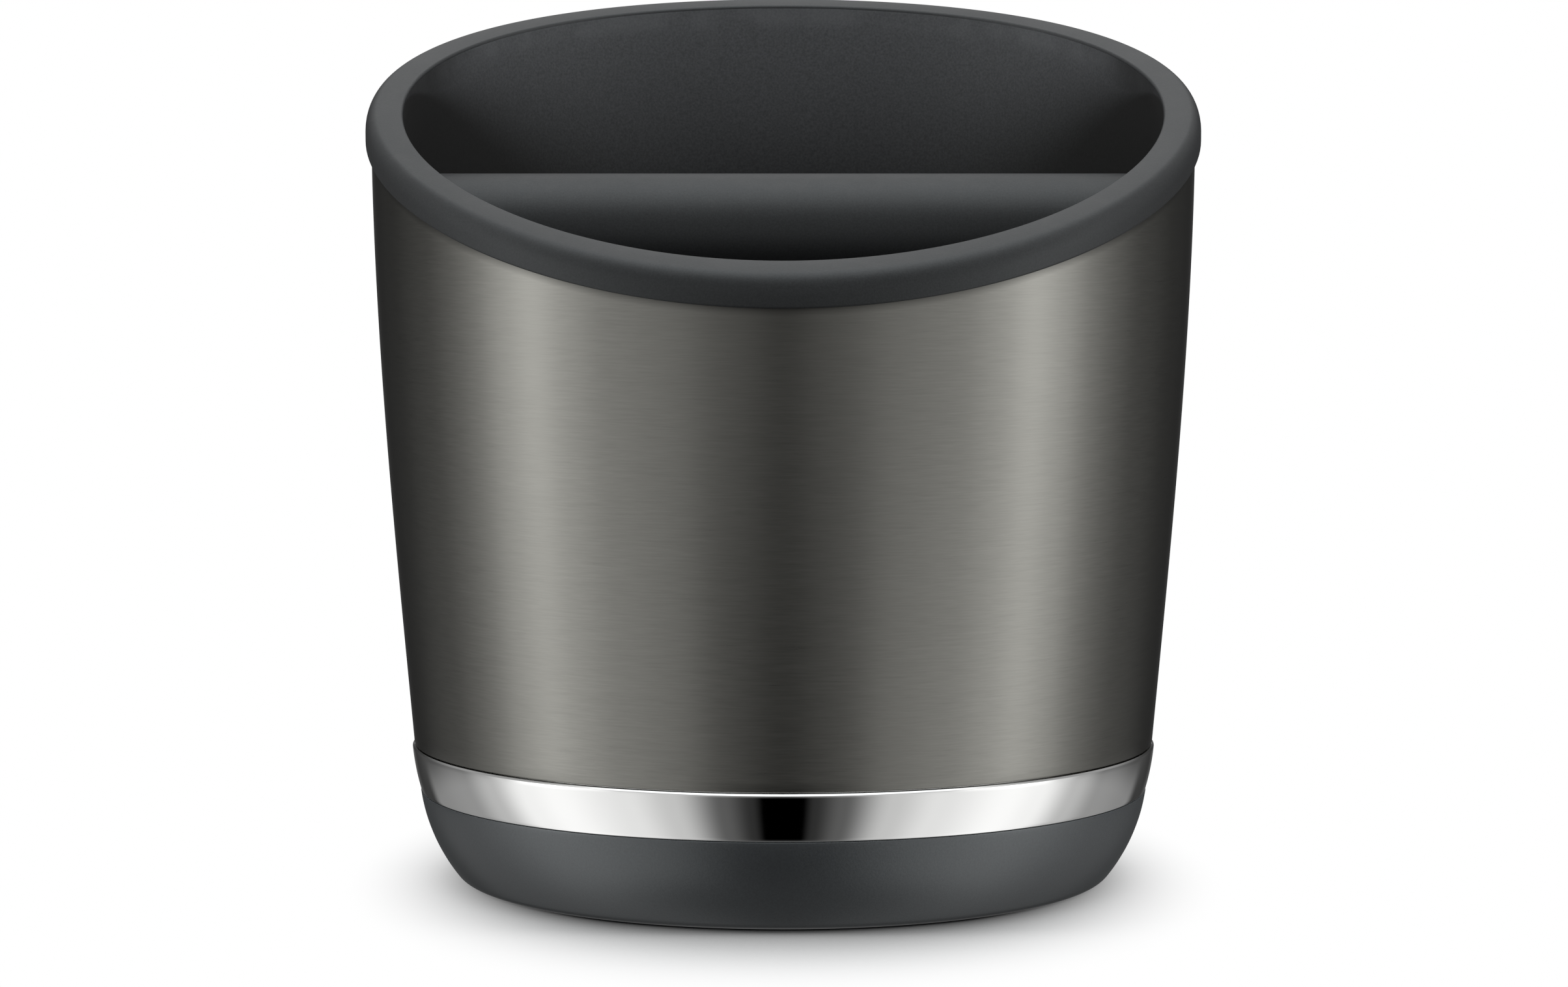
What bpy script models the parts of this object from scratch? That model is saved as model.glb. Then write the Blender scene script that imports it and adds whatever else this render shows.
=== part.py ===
"""Espresso knock box: a slanted, double-walled bucket with a padded bar that lifts out.

Units are metres, +Z is up. The origin is the centre of the foot, on the worktop.
The low side of the mouth faces -Y, and the knock bar lies along X.
"""

import math

import bmesh
import bpy
from mathutils import Vector

MM = 0.001

# Clearances and allowances that every fit shares
SEAT_GAP = 0.3 * MM
CUT_OVERRUN = 2.0 * MM
MERGE_DISTANCE = 0.003 * MM
SHARP_EDGE = math.radians(32)

# Slanted mouth: its crest climbs towards the back and is arched a little on the way
CREST_HEIGHT = 121.6 * MM
CREST_ARCH = 3.67 * MM
MOUTH_TILT = math.radians(18.8)

# Outer sleeve: a thin steel barrel, flared out of the foot and upright at the shoulder
SLEEVE_FOOT_RADIUS = 58.05 * MM
SLEEVE_SHOULDER_RADIUS = 64.13 * MM
SLEEVE_WALL = 0.7 * MM
SHOULDER_BELOW_CREST = 1.0 * MM
FLARE_ANGLE = math.radians(5.1)

# Soft rim: a rounded bead that caps the bucket's flange and the sleeve's cut edge
RIM_PROUD = 0.87 * MM
RIM_COVER = 1.9 * MM
RIM_DEPTH = 4.5 * MM
RIM_SHOULDER_WIDTH = 2.5 * MM
RIM_SHOULDER_DROP = 1.7 * MM
RIM_INNER_ROUND = 0.8 * MM
RIM_LIP_ROUND = 0.5 * MM

# Bright band between the sleeve and the boot
BAND_HEIGHT = 7.5 * MM
BAND_PROUD = 0.33 * MM
BAND_TAPER = 1.34 * MM
BAND_STRAIGHT_SHARE = 0.45
BAND_EDGE = 0.6 * MM
BAND_SPIGOT_HEIGHT = 2.0 * MM

# Rubber boot at the foot: its side leans in more and more, then turns under tightly
BOOT_HEIGHT = 13.8 * MM
BOOT_PROUD = 0.1 * MM
BOOT_SIDE_RADIUS = 27.1 * MM
BOOT_TOP_LEAN = math.radians(8)
BOOT_TOE_RADIUS = 3.04 * MM
BOOT_WALL = 3.0 * MM
BOOT_EDGE = 0.4 * MM
FOOT_WIDTH = 7.3 * MM

# Inner bucket
BUCKET_WALL = 2.2 * MM
FOOT_AIR_GAP = 2.03 * MM
MOUTH_AIR_GAP = 1.0 * MM
BUCKET_UPRIGHT = 10.2 * MM
BUCKET_TURN_EASE = 0.65 * MM
BUCKET_FLANGE = 2.2 * MM
BUCKET_FLOOR = 2.4 * MM
BUCKET_INNER_CORNER = 8.0 * MM
BUCKET_OUTER_CORNER = 1.2 * MM

# Knock bar: a steel core in a padded cover, with a soft cap on each end
BAR_BELOW_CREST = 21.3 * MM
BAR_RADIUS = 10.0 * MM
BAR_END_CLEARANCE = 1.2 * MM
BAR_CORE_RADIUS = 5.0 * MM
BAR_CORE_CHAMFER = 0.6 * MM
BAR_COVER_EDGE = 0.5 * MM
END_CAP_LENGTH = 2.8 * MM
END_CAP_SKIN = 1.5 * MM
END_CAP_ROUND = 1.2 * MM

# Cradles that hold the bar, moulded into the bucket's wall
CRADLE_DEPTH = 5.0 * MM
CRADLE_SIDE = 3.5 * MM
CRADLE_RISE = 3.7 * MM
CRADLE_WEB = 4.0 * MM
CRADLE_RAMP = 9.0 * MM
CRADLE_LEAD_IN = 1.5 * MM
CRADLE_ROUND = 1.0 * MM

# Base screws, heads up inside the pan from below
SCREW_COUNT = 4
SCREW_INSET = 6.0 * MM
SCREW_HEAD_RADIUS = 2.8 * MM
SCREW_HEAD_HEIGHT = 1.5 * MM
SCREW_HEAD_ROUND = 0.5 * MM
SCREW_RADIUS = 1.4 * MM
SCREW_POINT = 1.2 * MM
BOSS_RADIUS = 4.2 * MM
BOSS_ROOT_SHARE = 0.5
PILOT_COVER = 0.8 * MM

# Base pan: a moulded dish that closes the foot
PAN_RECESS = 1.5 * MM
PAN_HEAD_SEAT = 1.2 * MM
PAN_FLANGE = 1.2 * MM
PAN_WALL = 2.4 * MM
PAN_EDGE = 0.8 * MM

# Facets
ROUND_STEPS = 64
BAR_STEPS = 32
SCREW_STEPS = 12
BOSS_STEPS = 20
WALL_STEPS = 5
BAND_STEPS = 3
SIDE_ARC_STEPS = 4
HIDDEN_ARC_STEPS = 2
CORNER_STEPS = 4
SMALL_ROUND_STEPS = 3
SLOT_STEPS = 16
EDGE_PASSES = 6

# Radii and heights that follow from the sizes above
BEAD_RADIUS = SLEEVE_SHOULDER_RADIUS + RIM_PROUD
SHOULDER_Z = CREST_HEIGHT - SHOULDER_BELOW_CREST
BASE_Z = BOOT_HEIGHT + SEAT_GAP
BAND_TOP_Z = BASE_Z + BAND_HEIGHT
SLEEVE_FOOT_Z = BAND_TOP_Z + SEAT_GAP
BAND_TOP_RADIUS = SLEEVE_FOOT_RADIUS + BAND_PROUD
BAND_BOTTOM_RADIUS = BAND_TOP_RADIUS - BAND_TAPER
BOOT_TOP_RADIUS = BAND_BOTTOM_RADIUS + BOOT_PROUD
FLOOR_Z = BASE_Z + BUCKET_FLOOR
BAR_Z = CREST_HEIGHT - BAR_BELOW_CREST
HEAD_SEAT_Z = PAN_RECESS + SCREW_HEAD_HEIGHT
PAN_TOP_Z = HEAD_SEAT_Z + SEAT_GAP + PAN_HEAD_SEAT
PAN_SHELF_Z = PAN_TOP_Z - PAN_FLANGE
SOLE_Z = PAN_SHELF_Z - SEAT_GAP
PILOT_TOP_Z = BASE_Z - PILOT_COVER


def crest_height(y):
    """Height of the rim's crest over the point y of the plan."""
    across = y / BEAD_RADIUS
    return CREST_HEIGHT + math.tan(MOUTH_TILT) * y - CREST_ARCH * across * across


def sleeve_outer(z):
    """Radius of the sleeve at height z: flared at the foot, upright from the shoulder up."""
    if z >= SHOULDER_Z:
        return SLEEVE_SHOULDER_RADIUS
    span = SHOULDER_Z - BAND_TOP_Z
    t = (z - BAND_TOP_Z) / span
    from_foot = SLEEVE_FOOT_RADIUS * (1 + 2 * t) * (1 - t) ** 2
    from_flare = math.tan(FLARE_ANGLE) * span * t * (1 - t) ** 2
    from_shoulder = SLEEVE_SHOULDER_RADIUS * t * t * (3 - 2 * t)
    return from_foot + from_flare + from_shoulder


def sleeve_inner(z):
    return sleeve_outer(z) - SLEEVE_WALL


# The bucket turns upright a little below the lowest point of the mouth, so its mouth is round
BUCKET_TURN_Z = crest_height(-BEAD_RADIUS) - BUCKET_UPRIGHT
UPRIGHT_RADIUS = min(sleeve_inner(BUCKET_TURN_Z), sleeve_inner(SHOULDER_Z)) - MOUTH_AIR_GAP
MOUTH_RADIUS = UPRIGHT_RADIUS - BUCKET_WALL


def bucket_outer(z):
    """Radius outside the bucket, which follows the sleeve and then turns upright."""
    share = (z - BAND_TOP_Z) / (BUCKET_TURN_Z - BAND_TOP_Z)
    gap = FOOT_AIR_GAP + (MOUTH_AIR_GAP - FOOT_AIR_GAP) * share
    following = sleeve_inner(z) - gap
    ease = max(BUCKET_TURN_EASE - abs(following - UPRIGHT_RADIUS), 0)
    return min(following, UPRIGHT_RADIUS) - ease * ease / (4 * BUCKET_TURN_EASE)


def bucket_inner(z):
    return bucket_outer(z) - BUCKET_WALL


def slanted_edge(radius_at, depth, angle):
    """Height at which a wall meets the slant that runs depth below the crest, at one bearing."""
    z = CREST_HEIGHT
    for _ in range(EDGE_PASSES):
        z = crest_height(radius_at(z) * math.sin(angle)) - depth
    return z


def arc(centre_r, centre_z, radius, start, end, steps):
    """Points (r, z) of an arc, with its angles measured from +r towards +z."""
    points = []
    for i in range(steps + 1):
        a = start + (end - start) * i / steps
        points.append((centre_r + radius * math.cos(a), centre_z + radius * math.sin(a)))
    return points


def evenly(first, last, steps):
    """Values from first to last in equal steps."""
    return [first + (last - first) * i / steps for i in range(steps + 1)]


def make_material(name, colour, roughness, metallic=0.0):
    material = bpy.data.materials.new(name)
    material.use_nodes = True
    shader = material.node_tree.nodes["Principled BSDF"]
    shader.inputs["Base Color"].default_value = (*colour, 1.0)
    shader.inputs["Roughness"].default_value = roughness
    shader.inputs["Metallic"].default_value = metallic
    material.diffuse_color = (*colour, 1.0)
    return material


def add_object(name, bm, material=None):
    """Turns a bmesh into an outward-facing, smooth-shaded object."""
    bmesh.ops.recalc_face_normals(bm, faces=bm.faces)
    mesh = bpy.data.meshes.new(name)
    bm.to_mesh(mesh)
    bm.free()
    mesh.shade_smooth()
    mesh.set_sharp_from_angle(angle=SHARP_EDGE)
    if material:
        mesh.materials.append(material)
    obj = bpy.data.objects.new(name, mesh)
    bpy.context.scene.collection.objects.link(obj)
    return obj


def turned(name, profile, steps, material=None):
    """Spins a profile of (r, z) points about Z. It is a closed ring, or starts and ends on Z."""
    bm = bmesh.new()
    verts = [bm.verts.new((r, 0, z)) for r, z in profile]
    edges = [bm.edges.new(pair) for pair in zip(verts, verts[1:])]
    if profile[0][0] > 0:
        edges.append(bm.edges.new((verts[-1], verts[0])))
    bmesh.ops.spin(
        bm,
        geom=verts + edges,
        cent=(0, 0, 0),
        axis=(0, 0, 1),
        angle=math.tau,
        steps=steps,
        use_merge=True,
    )
    bmesh.ops.remove_doubles(bm, verts=bm.verts, dist=MERGE_DISTANCE)
    return add_object(name, bm, material)


def lofted(name, section_at, material=None):
    """Lofts the section that section_at gives for each bearing round Z.

    A section is a closed ring of (r, z) points, or starts and ends on Z, where the
    loft gets one flat face in place of the axis point.
    """
    bm = bmesh.new()
    sections = []
    for i in range(ROUND_STEPS):
        angle = math.tau * i / ROUND_STEPS
        along = Vector((math.cos(angle), math.sin(angle), 0))
        points = section_at(angle)
        capped = points[0][0] == 0
        if capped:
            points = points[1:-1]
        sections.append([bm.verts.new(along * r + Vector((0, 0, z))) for r, z in points])
    for near, far in zip(sections, sections[1:] + sections[:1]):
        pairs = list(zip(near, far))
        following = pairs[1:] if capped else pairs[1:] + pairs[:1]
        for (a, b), (d, c) in zip(pairs, following):
            bm.faces.new((a, b, c, d))
    if capped:
        bm.faces.new([section[0] for section in sections])
        bm.faces.new([section[-1] for section in sections])
    return add_object(name, bm, material)


def extruded(name, outline, direction):
    """Extrudes a closed flat outline of 3-D points along a vector."""
    bm = bmesh.new()
    face = bm.faces.new([bm.verts.new(point) for point in outline])
    grown = bmesh.ops.extrude_face_region(bm, geom=[face])
    moved = [item for item in grown["geom"] if isinstance(item, bmesh.types.BMVert)]
    bmesh.ops.translate(bm, verts=moved, vec=direction)
    return add_object(name, bm)


def as_tool(obj):
    """Marks an object as a helper that only shapes others."""
    obj.hide_render = True
    obj.display_type = "WIRE"
    return obj


def combine(target, tool, operation):
    modifier = target.modifiers.new(f"{operation.lower()} {tool.name}", "BOOLEAN")
    modifier.operation = operation
    modifier.object = tool


def round_edges(obj, width):
    modifier = obj.modifiers.new("rounded edges", "BEVEL")
    modifier.width = width
    modifier.segments = 2


# Outer shell


def build_sleeve(material):
    """Thin steel barrel between the band and the rim, cut on the slant at the top."""
    depth = RIM_COVER + SEAT_GAP

    def section(angle):
        outer_top = slanted_edge(sleeve_outer, depth, angle)
        inner_top = slanted_edge(sleeve_inner, depth, angle)
        outside = [(sleeve_outer(z), z) for z in evenly(SLEEVE_FOOT_Z, outer_top, WALL_STEPS)]
        inside = [(sleeve_inner(z), z) for z in evenly(inner_top, SLEEVE_FOOT_Z, WALL_STEPS)]
        return outside + inside

    return lofted("outer_sleeve", section, material)


def rim_bead(radius):
    """Points (r, drop from the crest) over the bead, from its outer lip to its inner edge."""
    lip = min(RIM_LIP_ROUND, RIM_PROUD - SEAT_GAP)
    quarter = math.pi / 2
    points = arc(radius - lip, lip - RIM_DEPTH, lip, -quarter, 0, SMALL_ROUND_STEPS)
    for a in evenly(0, quarter, CORNER_STEPS):
        r = radius - RIM_SHOULDER_WIDTH * (1 - math.cos(a))
        points.append((r, -RIM_SHOULDER_DROP * (1 - math.sin(a))))
    inner_r = MOUTH_RADIUS + RIM_INNER_ROUND
    points += arc(
        inner_r, -RIM_INNER_ROUND, RIM_INNER_ROUND, quarter, 2 * quarter, SMALL_ROUND_STEPS
    )
    return points


def build_rim(material):
    """Soft bead over the flange and the sleeve's edge, one section all the way round."""

    def section(angle):
        seat_radius = sleeve_outer(slanted_edge(sleeve_outer, RIM_COVER, angle))
        lip_inner = seat_radius + SEAT_GAP
        profile = [(lip_inner, -RIM_COVER), (lip_inner, -RIM_DEPTH)]
        profile += rim_bead(max(BEAD_RADIUS, seat_radius + RIM_PROUD))
        profile.append((MOUTH_RADIUS, -RIM_COVER))
        return [(r, crest_height(r * math.sin(angle)) + drop) for r, drop in profile]

    return lofted("soft_rim", section, material)


def build_band(material):
    """Bright ring whose spigot centres the sleeve's foot."""
    top = BAND_TOP_Z - BAND_EDGE
    outside = []
    for share in evenly(1, 0, BAND_STEPS):
        bow = BAND_STRAIGHT_SHARE * share + (1 - BAND_STRAIGHT_SHARE) * share**2
        outside.append((BAND_TOP_RADIUS - BAND_TAPER * bow, top - (top - BASE_Z) * share))
    edge = arc(BAND_TOP_RADIUS - BAND_EDGE, top, BAND_EDGE, 0, math.pi / 2, SMALL_ROUND_STEPS)
    spigot_r = sleeve_inner(SLEEVE_FOOT_Z) - SEAT_GAP
    spigot_top = SLEEVE_FOOT_Z + BAND_SPIGOT_HEIGHT
    profile = [(bucket_outer(BASE_Z) + SEAT_GAP, BASE_Z)]
    profile += outside + edge[1:]
    profile += [
        (spigot_r, BAND_TOP_Z),
        (spigot_r, spigot_top),
        (bucket_outer(spigot_top) + SEAT_GAP, spigot_top),
    ]
    return turned("trim_band", profile, ROUND_STEPS, material)


# Foot


def boot_side_centre():
    """Centre (r, z) of the arc of the boot's side."""
    centre_r = BOOT_TOP_RADIUS - BOOT_SIDE_RADIUS * math.cos(BOOT_TOP_LEAN)
    centre_z = BASE_Z + BOOT_SIDE_RADIUS * math.sin(BOOT_TOP_LEAN)
    return centre_r, centre_z


def boot_side(inset, low_z, high_z, steps):
    """The boot's side curve moved in by inset, from low_z up to high_z."""
    centre_r, centre_z = boot_side_centre()
    radius = BOOT_SIDE_RADIUS - inset
    lowest = -math.asin((centre_z - low_z) / radius)
    highest = -math.asin((centre_z - high_z) / radius)
    return arc(centre_r, centre_z, radius, lowest, highest, steps)


def boot_outline():
    """Outer side of the boot, from the edge of its flat foot up to its top."""
    centre_r, centre_z = boot_side_centre()
    reach = BOOT_SIDE_RADIUS - BOOT_TOE_RADIUS
    turn = math.asin((centre_z - BOOT_TOE_RADIUS) / reach)
    toe_r = centre_r + reach * math.cos(turn)
    toe = arc(toe_r, BOOT_TOE_RADIUS, BOOT_TOE_RADIUS, -math.pi / 2, -turn, CORNER_STEPS)
    side = boot_side(0, toe[-1][1], BOOT_HEIGHT - BOOT_EDGE, SIDE_ARC_STEPS)
    return toe + side[1:]


def foot_inner_radius():
    return boot_outline()[0][0] - FOOT_WIDTH


def build_boot(material):
    """Rubber boot: a flat foot ring, a curved side and a top edge under the band."""
    outside = boot_outline()
    inside = boot_side(BOOT_WALL, SOLE_Z, BOOT_HEIGHT, HIDDEN_ARC_STEPS)
    profile = [(foot_inner_radius(), 0)]
    profile += outside
    profile.append((outside[-1][0] - BOOT_EDGE, BOOT_HEIGHT))
    profile += list(reversed(inside))
    profile.append((foot_inner_radius(), SOLE_Z))
    return turned("base_boot", profile, ROUND_STEPS, material)


def screw_places():
    """Places of the base screws in plan, halfway between the axes."""
    circle = foot_inner_radius() - SCREW_INSET
    for i in range(SCREW_COUNT):
        angle = math.tau * (i + 0.5) / SCREW_COUNT
        yield Vector((circle * math.cos(angle), circle * math.sin(angle), 0))


def build_pan(material):
    """Moulded dish inside the boot, screwed up to the bucket from below."""
    rim_r = foot_inner_radius() - SEAT_GAP
    inset = BOOT_WALL + SEAT_GAP
    outside = boot_side(inset, PAN_SHELF_Z, BOOT_HEIGHT, HIDDEN_ARC_STEPS)
    inside = boot_side(inset + PAN_WALL, PAN_TOP_Z, BOOT_HEIGHT, HIDDEN_ARC_STEPS)
    profile = [(0, PAN_RECESS), (rim_r - PAN_EDGE, PAN_RECESS), (rim_r, PAN_RECESS + PAN_EDGE)]
    profile.append((rim_r, PAN_SHELF_Z))
    profile += outside + list(reversed(inside))
    profile.append((0, PAN_TOP_Z))
    pan = turned("base_pan", profile, ROUND_STEPS, material)

    head = SCREW_HEAD_RADIUS + SEAT_GAP
    shank = SCREW_RADIUS + SEAT_GAP
    seat_z = HEAD_SEAT_Z + SEAT_GAP
    low = PAN_RECESS - CUT_OVERRUN
    high = PAN_TOP_Z + CUT_OVERRUN
    stepped = [(0, low), (head, low), (head, seat_z), (shank, seat_z), (shank, high), (0, high)]
    for i, place in enumerate(screw_places(), 1):
        cutter = as_tool(turned(f"pan_hole_cutter_{i}", stepped, BOSS_STEPS))
        cutter.location = place
        combine(pan, cutter, "DIFFERENCE")
    return pan


def build_screws(material):
    """Pan-head screws, with their heads in the base pan's counterbores."""
    point_z = PILOT_TOP_Z - SEAT_GAP
    head = arc(
        SCREW_HEAD_RADIUS - SCREW_HEAD_ROUND,
        PAN_RECESS + SCREW_HEAD_ROUND,
        SCREW_HEAD_ROUND,
        -math.pi / 2,
        0,
        SMALL_ROUND_STEPS,
    )
    profile = [(0, PAN_RECESS)]
    profile += head
    profile += [
        (SCREW_HEAD_RADIUS, HEAD_SEAT_Z),
        (SCREW_RADIUS, HEAD_SEAT_Z),
        (SCREW_RADIUS, point_z - SCREW_POINT),
        (SCREW_RADIUS / 2, point_z),
        (0, point_z),
    ]
    for i, place in enumerate(screw_places(), 1):
        screw = turned(f"base_screw_{i}", profile, SCREW_STEPS, material)
        screw.location = place


# Inner bucket


def build_bucket(material):
    """Moulded bucket with its flange, bar cradles and screw bosses."""
    corner_z = FLOOR_Z + BUCKET_INNER_CORNER
    inner_corner = arc(
        bucket_inner(corner_z) - BUCKET_INNER_CORNER,
        corner_z,
        BUCKET_INNER_CORNER,
        0,
        -math.pi / 2,
        CORNER_STEPS,
    )
    depth = RIM_COVER + SEAT_GAP
    wall_low = BASE_Z + BUCKET_OUTER_CORNER

    def section(angle):
        mouth_z = slanted_edge(bucket_inner, depth, angle)
        wall_top = slanted_edge(bucket_outer, depth, angle) - BUCKET_FLANGE
        flange_z = slanted_edge(sleeve_inner, depth, angle)
        flange_r = sleeve_inner(flange_z) - SEAT_GAP
        profile = [(0, BASE_Z), (bucket_outer(wall_low) - BUCKET_OUTER_CORNER, BASE_Z)]
        profile += [(bucket_outer(z), z) for z in evenly(wall_low, wall_top, WALL_STEPS)]
        profile += [(flange_r, flange_z - BUCKET_FLANGE), (flange_r, flange_z)]
        profile += [(bucket_inner(z), z) for z in evenly(mouth_z, corner_z, WALL_STEPS)]
        profile += inner_corner[1:]
        profile.append((0, FLOOR_Z))
        return profile

    bucket = lofted("inner_bucket", section, material)
    add_bosses(bucket)
    add_cradles(bucket)
    return bucket


def add_bosses(bucket):
    """Screw bosses under the floor, each with a blind pilot hole."""
    low = PAN_TOP_Z + SEAT_GAP
    high = BASE_Z + BUCKET_FLOOR * BOSS_ROOT_SHARE
    solid = [(0, low), (BOSS_RADIUS, low), (BOSS_RADIUS, high), (0, high)]
    pilot_r = SCREW_RADIUS + SEAT_GAP
    mouth = low - CUT_OVERRUN
    pilot = [(0, mouth), (pilot_r, mouth), (pilot_r, PILOT_TOP_Z), (0, PILOT_TOP_Z)]
    for i, place in enumerate(screw_places(), 1):
        boss = as_tool(turned(f"boss_{i}", solid, BOSS_STEPS))
        hole = as_tool(turned(f"pilot_cutter_{i}", pilot, SCREW_STEPS))
        boss.location = place
        hole.location = place
        combine(bucket, boss, "UNION")
        combine(bucket, hole, "DIFFERENCE")


def bar_half_length():
    """Half of the bar's length, as far as the wall beside its underside allows."""
    wall = bucket_inner(BAR_Z - BAR_RADIUS)
    return math.sqrt(wall**2 - BAR_RADIUS**2) - BAR_END_CLEARANCE


def add_cradles(bucket):
    """Two U-shaped rests on the wall, open upwards so that the bar lifts straight out."""
    slot_r = BAR_RADIUS + SEAT_GAP
    slot_end = bar_half_length() + SEAT_GAP
    face_x = bar_half_length() - CRADLE_DEPTH
    half_width = slot_r + CRADLE_SIDE
    top = BAR_Z + CRADLE_RISE
    low = BAR_Z - slot_r - CRADLE_WEB
    far_x = sleeve_outer(top)
    limit = wall_middle_solid(low - CRADLE_RAMP - CUT_OVERRUN, top + CUT_OVERRUN)
    for side, name in ((1, "right"), (-1, "left")):
        outline = [
            Vector((side * face_x, -half_width, top)),
            Vector((side * face_x, -half_width, low)),
            Vector((side * far_x, -half_width, low - CRADLE_RAMP)),
            Vector((side * far_x, -half_width, top)),
        ]
        pad = as_tool(extruded(f"cradle_{name}", outline, Vector((0, 2 * half_width, 0))))
        round_edges(pad, CRADLE_ROUND)
        combine(pad, limit, "INTERSECT")
        combine(bucket, pad, "UNION")
    combine(bucket, slot_tool(slot_r, slot_end, top), "DIFFERENCE")


def wall_middle_solid(low, high):
    """Solid out to the middle of the bucket's wall, which trims what is rooted there."""
    profile = [(0, low)]
    for z in evenly(low, high, 2 * WALL_STEPS):
        profile.append(((bucket_inner(z) + bucket_outer(z)) / 2, z))
    profile.append((0, high))
    return as_tool(turned("wall_middle_limit", profile, ROUND_STEPS))


def slot_tool(slot_r, slot_end, top):
    """U-shaped cutter along X with a flared lead-in at its mouth."""
    lead = slot_r + CRADLE_LEAD_IN
    above = top + CUT_OVERRUN
    half = [(slot_r, top - CRADLE_LEAD_IN), (lead, top), (lead, above)]
    outline = arc(0, BAR_Z, slot_r, -math.pi, 0, SLOT_STEPS)
    outline += half
    outline += [(-y, z) for y, z in reversed(half)]
    points = [Vector((-slot_end, y, z)) for y, z in outline]
    return as_tool(extruded("bar_slot_cutter", points, Vector((2 * slot_end, 0, 0))))


# Knock bar


def core_profile(half):
    side = BAR_CORE_RADIUS - BAR_CORE_CHAMFER
    shoulder = half - BAR_CORE_CHAMFER
    upper = [(BAR_CORE_RADIUS, shoulder), (side, half), (0, half)]
    return [(r, -z) for r, z in reversed(upper)] + upper


def cover_profile(half, bore):
    side = BAR_RADIUS - BAR_COVER_EDGE
    upper = [(BAR_RADIUS, half - BAR_COVER_EDGE), (side, half), (bore, half)]
    return [(r, -z) for r, z in reversed(upper)] + upper


def cap_profile(half, bore):
    """End cap over the core's end, closed at z = half."""
    inner_face = half - END_CAP_LENGTH
    bore_end = half - END_CAP_SKIN
    points = [
        (0, bore_end),
        (bore, bore_end),
        (bore, inner_face),
        (BAR_RADIUS - BAR_COVER_EDGE, inner_face),
        (BAR_RADIUS, inner_face + BAR_COVER_EDGE),
    ]
    points += arc(
        BAR_RADIUS - END_CAP_ROUND,
        half - END_CAP_ROUND,
        END_CAP_ROUND,
        0,
        math.pi / 2,
        SMALL_ROUND_STEPS,
    )
    points.append((0, half))
    return points


def build_bar(steel, padding, cap_material):
    """Steel core, padded cover and two end caps, on an empty on the lift axis."""
    half = bar_half_length()
    core_half = half - END_CAP_SKIN - SEAT_GAP
    cover_half = half - END_CAP_LENGTH - SEAT_GAP
    bore = BAR_CORE_RADIUS + SEAT_GAP

    carrier = bpy.data.objects.new("bar_lift_axis", None)
    carrier.location = (0, 0, BAR_Z)
    bpy.context.scene.collection.objects.link(carrier)

    core = turned("bar_core", core_profile(core_half), BAR_STEPS, steel)
    cover = turned("bar_cover", cover_profile(cover_half, bore), BAR_STEPS, padding)
    right = turned("bar_end_right", cap_profile(half, bore), BAR_STEPS, cap_material)
    left = bpy.data.objects.new("bar_end_left", right.data)
    bpy.context.scene.collection.objects.link(left)
    quarter = math.pi / 2
    for piece, turn in ((core, quarter), (cover, quarter), (right, quarter), (left, -quarter)):
        piece.parent = carrier
        piece.rotation_euler = (0, turn, 0)


def clear_scene():
    for obj in list(bpy.data.objects):
        bpy.data.objects.remove(obj, do_unlink=True)


def main():
    clear_scene()
    moulded = make_material("charcoal_abs", (0.050, 0.051, 0.051), 0.55)
    soft = make_material("charcoal_elastomer", (0.028, 0.030, 0.031), 0.50)
    rubber = make_material("charcoal_rubber", (0.036, 0.040, 0.042), 0.42)
    dark_steel = make_material("dark_brushed_steel", (0.240, 0.237, 0.218), 0.30, 1.0)
    chrome = make_material("polished_chrome", (0.90, 0.90, 0.89), 0.04, 1.0)
    steel = make_material("bright_steel", (0.52, 0.52, 0.51), 0.28, 1.0)

    build_bucket(moulded)
    build_rim(soft)
    build_sleeve(dark_steel)
    build_band(chrome)
    build_boot(rubber)
    build_pan(moulded)
    build_screws(steel)
    build_bar(steel, soft, rubber)


if __name__ == "__main__":
    main()
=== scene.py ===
"""Espresso knock box, dressed for the camera.

Loads the packed frame, rebuilds each piece of the box as a finely finished part in its
place, and sets up a plain white studio. Units are metres, +Z is up, the low side of the
mouth faces -Y, and the knock bar lies along X.
"""

import math

import bmesh
import bpy
from bpy.props import FloatProperty, FloatVectorProperty, IntProperty, PointerProperty
from mathutils import Matrix, Vector


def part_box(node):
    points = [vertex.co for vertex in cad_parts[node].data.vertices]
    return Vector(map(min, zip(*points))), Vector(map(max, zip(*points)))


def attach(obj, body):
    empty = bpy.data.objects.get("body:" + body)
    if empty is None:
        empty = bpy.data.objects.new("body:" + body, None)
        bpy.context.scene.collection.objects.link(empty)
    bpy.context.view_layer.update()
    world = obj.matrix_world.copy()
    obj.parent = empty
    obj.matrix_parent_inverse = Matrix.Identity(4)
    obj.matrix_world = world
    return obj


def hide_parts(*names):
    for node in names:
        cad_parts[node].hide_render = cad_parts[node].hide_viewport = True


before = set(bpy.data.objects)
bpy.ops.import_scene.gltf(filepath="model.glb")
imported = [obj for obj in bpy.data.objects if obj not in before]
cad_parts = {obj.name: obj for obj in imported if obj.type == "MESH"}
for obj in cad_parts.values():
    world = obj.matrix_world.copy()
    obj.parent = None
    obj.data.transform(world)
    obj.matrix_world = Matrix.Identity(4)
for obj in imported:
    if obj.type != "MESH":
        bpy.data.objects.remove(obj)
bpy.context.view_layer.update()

bl_info = {
    "name": "Espresso Knock Box",
    "version": (1, 0, 0),
    "blender": (4, 5, 0),
    "location": "3D View > Sidebar > Knock Box",
    "description": "Builds a slanted espresso knock box with its finishes and its studio",
    "category": "Object",
}

MM = 0.001
BOX_BODY = "box"
BAR_BODY = "knock_bar"

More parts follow.
